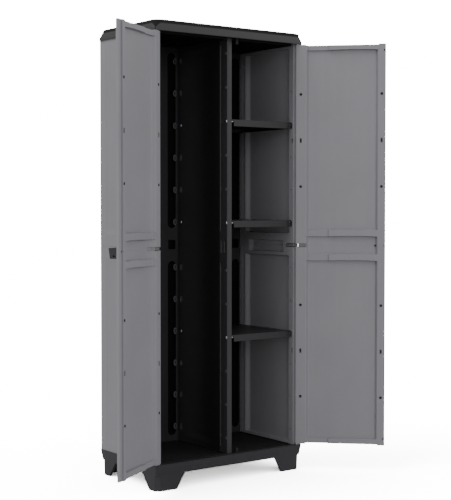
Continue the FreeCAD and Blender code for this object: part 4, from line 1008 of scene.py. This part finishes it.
@dataclass
class DoorLeaf(Panel):
    """Half of a door in its own plan, in millimetres.

    Places along it, s, count out from the hinge line, and depth counts towards the inside.
    """

    side: Side
    open_degrees: float
    free_stile: float
    hinge_hole: float
    free_hole: float
    screw_place: float
    groove_end: float
    title: ClassVar[str] = "{0.side.word}_door_{0.half.word}"
    reach: float = 330.1
    hinge_edge: float = -5.6
    outer_face: float = -6.7
    inner_face: float = 8.7
    skin: float = 3.0
    stile: float = 35.0
    slope: float = 13.0
    free_slope: float = 11.0
    band: float = 34.5
    rail: float = 27.0
    end_rail: float = 24.0
    notch_end: float = 125.5
    notch_depth: float = 5.5
    arch: float = 2.0
    strip: float = 19.0
    strip_thickness: float = 4.6
    strip_hole: float = 5.4
    rebate: float = 21.6
    rebate_depth: float = 5.2
    setback: float = 3.6
    leaf: Range = (5.6, 35.0)
    plate_notch: float = 5.3
    low: float = 104.4
    high: float = 1691.2

    @property
    def body(self) -> str:
        """The body of this door."""
        return f"{self.side.word}_door"

    @property
    def field_end(self) -> float:
        """Where the free edge's stile starts."""
        return self.reach - self.free_stile

    @property
    def last(self) -> float:
        """The end of the door, with the right door's strip."""
        return self.reach + (self.strip if self.side is Side.RIGHT else 0.0)

    @property
    def screw(self) -> Range:
        """Place and height of the handle's screw."""
        return self.reach - self.screw_place, SIZES.joint

    def span(self) -> Range:
        """Lowest and highest place of this half."""
        return self.half.pick((self.low, SIZES.joint), (SIZES.joint, self.high))

    def rails(self) -> list[Range]:
        """Height ranges of this half's rails, with the outer end open."""
        joint, far, low, high = SIZES.joint, 50.0, self.low, self.high
        below, above = joint - self.band, joint + self.band
        return self.half.pick([(low - far, low + self.end_rail), (below - self.rail, below)],
                              [(above, above + self.rail), (high - self.end_rail, high + far)])

    def moulded_holes(self) -> list[tuple[float, float, bool, bool]]:
        """Place and height of each hole in the stiles, and whether it is a slot or on the strip."""
        rows = ((self.hinge_hole, False), (self.free_hole, self.side is Side.RIGHT))
        return [(row, SIZES.hole_level(self.half, index), index == 1, on_strip)
                for row, on_strip in rows for index in range(3)]

    def end_hole_level(self) -> float:
        """Height of the lip's hole next to the end of this half."""
        return self.half.pick(self.low + 25.6, self.high - 25.6)

    def lines(self) -> tuple[Array, Array]:
        """Grid lines along the door and in height."""
        low, high = self.span()
        joint, field_end = SIZES.joint, self.field_end
        slope, free_slope = self.slope / 2, self.free_slope / 2
        setback = self.half.pick(self.low + self.setback, self.high - self.setback)
        s_marks = [
            *edge_marks([self.hinge_edge, self.last, self.reach], 1.8), (self.hinge_edge + 3, 3.0, 0.6),
            (self.leaf[0], 0.3, 0.3), (self.groove_end - 1, 3.2, 0.6), (self.stile + 8.5, 2.2, 0.7),
            (self.stile + slope, slope + 1, 1.8), (field_end - free_slope, free_slope + 1, 1.8),
            (self.notch_end, 2.0, 0.6), (self.hinge_hole, 4.6, 0.75), (self.free_hole, 4.6, 0.75),
            (field_end, 0.2, 0.2), (self.screw[0], 5.6, 0.8),
            (54.0, 6.0, 2.0), (self.reach - 77.0, 6.0, 2.0),
        ]
        if self.side is Side.RIGHT:
            s_marks += [(self.last - self.strip_hole, 3.8, 0.7), (self.reach, 0.1, 0.1)]
        else:
            s_marks.append((self.reach - self.rebate, 1.0, 0.3))
        z = grid_lines(low, high, 26.0, [
            *edge_marks([low, high]), *((end + 2, 4.5, 0.8) for rail in self.rails() for end in rail),
            *((level, 7.6 if slot else 4.4, 0.75) for _, level, slot, _ in self.moulded_holes()),
            (self.end_hole_level(), 3.8, 0.8), (joint, 9.6, 0.7), (setback, 0.3, 0.3),
            (joint, self.plate_notch, 2 * self.plate_notch),
        ])
        return grid_lines(self.hinge_edge, self.last, 15.0, s_marks), z

    def surfaces(self, s: Array, z: Array) -> tuple[Array, Array]:
        """The inner and the outer face, with the strip of the right door or the left one's rebate."""
        inner = self.inner_face - np.maximum(self.recess(s, z), self.holes(s, z))
        inner -= self.hinge_groove(s, z)
        outer = self.outer_face + self.outer_relief(s, z)
        inner -= rounding(s - self.hinge_edge, 3.5)
        outer = outer + rounding(s - self.hinge_edge, 6.0)
        seam = rounding(np.abs(z - SIZES.joint), 0.3)
        inner -= seam
        outer += seam
        outer = outer + rounding(self.reach - s, 1.5) * (s <= self.reach)
        if self.side is Side.RIGHT:
            outer = np.where(s > self.reach, self.inner_face - self.strip_thickness, outer)
            outer = outer + rounding(self.last - s, 1.5) * (s > self.reach)
            inner -= rounding(self.last - s, 1.5)
        else:
            stepped = np.minimum(inner, self.inner_face - self.rebate_depth)
            inner = np.where(s > self.reach - self.rebate, stepped, inner) - rounding(self.reach - s, 1.0)
        return inner, outer

    def kept(self, s: Array, z: Array) -> Array:
        """Leaves out the notch for the hinge plate and the field's ends beside the cover and the base."""
        cell_s, cell_z = np.meshgrid((s[:-1] + s[1:]) / 2, (z[:-1] + z[1:]) / 2, indexing="ij")
        notch = (cell_s < self.leaf[0]) & (np.abs(cell_z - SIZES.joint) < self.plate_notch)
        beyond = (cell_z > self.high - self.setback) | (cell_z < self.low + self.setback)
        return ~(notch | ((cell_s > self.stile) & (cell_s < self.field_end) & beyond))

    def recess(self, s: Array, z: Array) -> Array:
        """Depth of the field below the stiles, with arched rails and their notches left higher."""
        full = self.inner_face - self.outer_face - self.skin
        start, end = self.notch_end, self.field_end - self.free_slope
        middle, reach = (start + end) / 2, (end - start) / 2
        bow = self.arch * np.clip(1 - ((s - middle) / reach) ** 2, 0.0, None)
        raised = np.zeros_like(s)
        for low, high in self.rails():
            raised = np.maximum(raised, between(z, low + bow - 0.8, high + bow + 0.8, 2.2))
        notched = soft_step(s, self.stile + 7, self.stile + 10)
        notched = notched * (1 - soft_step(s, start - 0.6, start + 0.6))
        trough = soft_step(s, self.stile, self.stile + self.slope)
        trough = trough * (1 - soft_step(s, end, self.field_end))
        return raised * self.notch_depth * notched + (1 - raised) * full * trough

    def holes(self, s: Array, z: Array) -> Array:
        """Depth of the moulded holes, the lip's holes and the screw's seat."""
        depth = pit(s, z, self.screw, 4.4, self.inner_face + 1.3)
        for row, level, slot, on_strip in self.moulded_holes():
            radius, half_height = (2.0, 5.0) if slot else (3.8, 0.0)
            deep = 3.6 if on_strip else 11.0
            depth = np.maximum(depth, pit(s, z, (row, level), radius, deep, half_height))
        if self.side is Side.RIGHT:
            for level in (self.end_hole_level(), SIZES.joint):
                depth = np.maximum(depth, pit(s, z, (self.last - self.strip_hole, level), 2.9, 3.4))
        return depth

    def hinge_groove(self, s: Array, z: Array) -> Array:
        """Depth of the groove round the hinge leaf; on the left door it frames a longer strip."""
        middle = np.abs(z - SIZES.joint)
        around = between(s, self.leaf[0] - 3, self.groove_end, 0.6) * (1 - soft_step(middle, 6.4, 7.2))
        island = between(s, self.leaf[1] + 1, self.groove_end - 3.4, 0.6)
        return 5.0 * around * (1 - island * (1 - soft_step(middle, 1.6, 2.6)))

    def outer_relief(self, s: Array, z: Array) -> Array:
        """A shallow field in the outer face, 1.5 mm deep, with a wide soft border."""
        low, high = self.span()
        below, above = self.half.pick((40.0, 52.0), (52.0, 40.0))
        tall = between(z, low + below, high - above, 15.0)
        return 1.5 * tall * between(s, 42.0, self.reach - 70.0, 15.0)

    def place(self, s: Array, z: Array, depth: Array) -> Array:
        """Points in metres: the plan is mirrored for the right door, then turned about the hinge."""
        sign = -self.side.value
        turn = math.radians(-sign * self.open_degrees)
        x = sign * s
        world_x = -sign * SIZES.hinge_x + x * math.cos(turn) - depth * math.sin(turn)
        world_y = SIZES.hinge_y + x * math.sin(turn) + depth * math.cos(turn)
        return np.stack([world_x, world_y, z], axis=-1) * MM

    def add_details(self) -> None:
        """Lines the moulded holes with near-black cups, painted shade for their dark insides."""
        linings = []
        for row, level, slot, on_strip in self.moulded_holes():
            radius, half_height = (3.2, 5.5) if slot else (4.8, 0.0)
            linings.append(HoleLining(row, level, radius, 3.2 if on_strip else 10.5, half_height))
        if self.side is Side.RIGHT:
            linings.append(HoleLining(self.last - self.strip_hole, self.end_hole_level(), 3.1, 3.2))
        add_linings(f"{self.name}_hole_linings", self.body, linings, self.inner_face, 1.0, self.place)


@dataclass
class SoftenedSolid:
    """A copy of a solid whose edges get a small round, as a mould leaves them.

    Attributes:
        node: The solid that it stands for.
        body: The body that it rides on.
        finish: Its finish.
        radius: Width of the round in metres.
    """

    node: str
    body: str
    finish: Finish
    radius: float = 0.0012

    def build(self, nodes: dict[str, bpy.types.Object]) -> None:
        """Copies the solid's mesh, joins its flat faces and rounds its edges.

        Args:
            nodes: The frame's solids by name.
        """
        work = bmesh.new()
        work.from_mesh(nodes[self.node].data)
        bmesh.ops.remove_doubles(work, verts=work.verts, dist=2e-5)
        bmesh.ops.dissolve_limit(work, angle_limit=math.radians(1.5), verts=work.verts, edges=work.edges)
        made = bpy.data.meshes.new(f"{self.node}_soft")
        work.to_mesh(made)
        work.free()
        piece = add_piece(f"{self.node}_piece", made, self.finish, self.body, [self.node])
        bevel = piece.modifiers.new("edge_round", "BEVEL")
        bevel.width = self.radius
        bevel.segments = 2
        bevel.limit_method = "ANGLE"
        bevel.angle_limit = math.radians(28.0)
        bevel.use_clamp_overlap = True
        bevel.harden_normals = False


@dataclass(frozen=True)
class Studio:
    """Pale floor, soft lights and the camera that stands where the photographer stood."""

    camera_place: Corner = (-2.80324, -3.94897, 1.05716)
    camera_turn: Corner = (87.91, 0.0, -36.48)
    lens: float = 88.35
    sensor: float = 36.0
    floor_reach: float = 30.0
    floor_seen: float = 14.0
    sky_seen: float = 17.0
    sky_light: float = 0.86

    def build(self) -> None:
        """Adds the floor, the sky, the lights and the camera."""
        self.add_floor()
        self.add_sky()
        self.add_sun("overhead_light", (-0.72, 0.10, 1.0), 40.0, 1.5)
        self.add_sun("front_light", (-0.36, -0.92, 0.16), 24.0, 0.55)
        self.add_sun("right_light", (0.80, -0.60, 0.25), 40.0, 0.5)
        data = bpy.data.cameras.new("camera")
        data.lens = self.lens
        data.sensor_width = self.sensor
        camera = bpy.data.objects.new("camera", data)
        camera.location = self.camera_place
        camera.rotation_euler = tuple(math.radians(angle) for angle in self.camera_turn)
        bpy.context.scene.collection.objects.link(camera)
        bpy.context.scene.camera = camera

    def add_floor(self) -> None:
        """A wide pale floor just under the feet, brighter to look at than it is as a light."""
        made = bpy.data.meshes.new("floor")
        corners = np.array([(-1, -1, 0), (1, -1, 0), (1, 1, 0), (-1, 1, 0)]) * self.floor_reach
        made.from_pydata(corners, [], [(0, 1, 2, 3)])
        board = NodeBoard(bpy.data.materials.new("studio_floor"))
        place = board.node("ShaderNodeTexCoord", output="Object")
        cloud = board.noise(place, 0.8, 3.0, 0.5)
        paper = board.blend(cloud, rgba((0.38, 0.38, 0.38)), rgba((0.42, 0.42, 0.42)))
        seen = board.node("ShaderNodeLightPath", output="Is Camera Ray")
        colour = board.blend(seen, paper, rgba((1.0, 1.0, 1.0), self.floor_seen))
        made.materials.append(board.finish({"Base Color": colour, "Roughness": 0.9 + cloud * 0.05}))
        floor = bpy.data.objects.new("floor", made)
        bpy.context.scene.collection.objects.link(floor)

    def add_sky(self) -> None:
        """A plain white sky that is brighter to look at than it is as a light."""
        board = NodeBoard(bpy.data.worlds.new("studio_sky"))
        white = rgba((1.0, 1.0, 1.0))
        light, seen = (board.node("ShaderNodeBackground", None, {"Color": white, "Strength": strength})
                       for strength in (self.sky_light, self.sky_seen))
        looked_at = board.node("ShaderNodeLightPath", output="Is Camera Ray")
        mix = board.node("ShaderNodeMixShader", None, {0: looked_at, 1: light, 2: seen})
        bpy.context.scene.world = board.close(mix, "ShaderNodeOutputWorld")

    def add_sun(self, name: str, source: Corner, degrees: float, strength: float) -> None:
        """A soft light that is the same everywhere, as from a wide ceiling of lamps.

        Args:
            name: The light's name.
            source: The direction that it comes from.
            degrees: How wide it looks, as an angle.
            strength: Its strength.
        """
        data = bpy.data.lights.new(name, "SUN")
        data.angle = math.radians(degrees)
        data.energy = strength
        lamp = bpy.data.objects.new(name, data)
        flat = math.hypot(source[0], source[1])
        lamp.rotation_euler = (math.atan2(flat, source[2]), 0.0, math.atan2(source[0], -source[1]))
        bpy.context.scene.collection.objects.link(lamp)


def softened_solids() -> list[SoftenedSolid]:
    """The solids whose own mesh is shown with rounded edges."""
    shelves = [f"{level}_shelf" for level in ("lower", "middle", "upper")]
    return [
        SoftenedSolid("top_cover", "cabinet", CAP, 0.0010),
        SoftenedSolid("base", "cabinet", FOOT),
        *(SoftenedSolid(shelf, shelf, SHELF) for shelf in shelves),
        *(SoftenedSolid(f"{side.word}_handle", f"{side.word}_door", HANDLE, 0.0014) for side in Side),
        *(SoftenedSolid(f"{side.word}_hinge_plate", "cabinet", HINGE) for side in Side),
        *(SoftenedSolid(f"{side.word}_door_leaf", f"{side.word}_door", HINGE) for side in Side),
        SoftenedSolid("door_catches", "cabinet", BLACK, 0.0006),
        SoftenedSolid("shelf_pegs", "cabinet", STEEL, 0.0008),
    ]


def dress_remaining(nodes: dict[str, bpy.types.Object]) -> None:
    """Gives the solids that stay visible their finishes.

    Args:
        nodes: The frame's solids by name.
    """
    finishes = {"rear_screws": STEEL}
    for side in Side:
        finishes[f"{side.word}_door_pivots"] = STEEL
        finishes[f"{side.word}_hinge_pin"] = DARK_STEEL
        finishes[f"{side.word}_handle_screw"] = DARK_STEEL
    for node, finish in finishes.items():
        data = nodes[node].data
        data.materials.clear()
        data.materials.append(material_of(finish))
        LOG.info("%s: kept, %s", node, finish.name)


def main() -> None:
    """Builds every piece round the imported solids."""
    logging.basicConfig(level=logging.INFO, format="%(name)s: %(message)s")
    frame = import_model()
    nodes = frame["nodes"]
    for half in Half:
        for side in Side:
            SideWall(half, side).build()
            BackWall(half, side).build()
        Divider(half).build()
        DoorLeaf(half, Side.LEFT, open_degrees=147.7, free_stile=42.0, hinge_hole=11.0, free_hole=298.5,
                 screw_place=20.2, groove_end=84.0).build()
        DoorLeaf(half, Side.RIGHT, open_degrees=136.3, free_stile=10.5, hinge_hole=15.2, free_hole=333.0,
                 screw_place=20.0, groove_end=38.4).build()
    for item in softened_solids():
        item.build(nodes)
    dress_remaining(nodes)
    Studio().build()


if __name__ == "__main__":
    main()
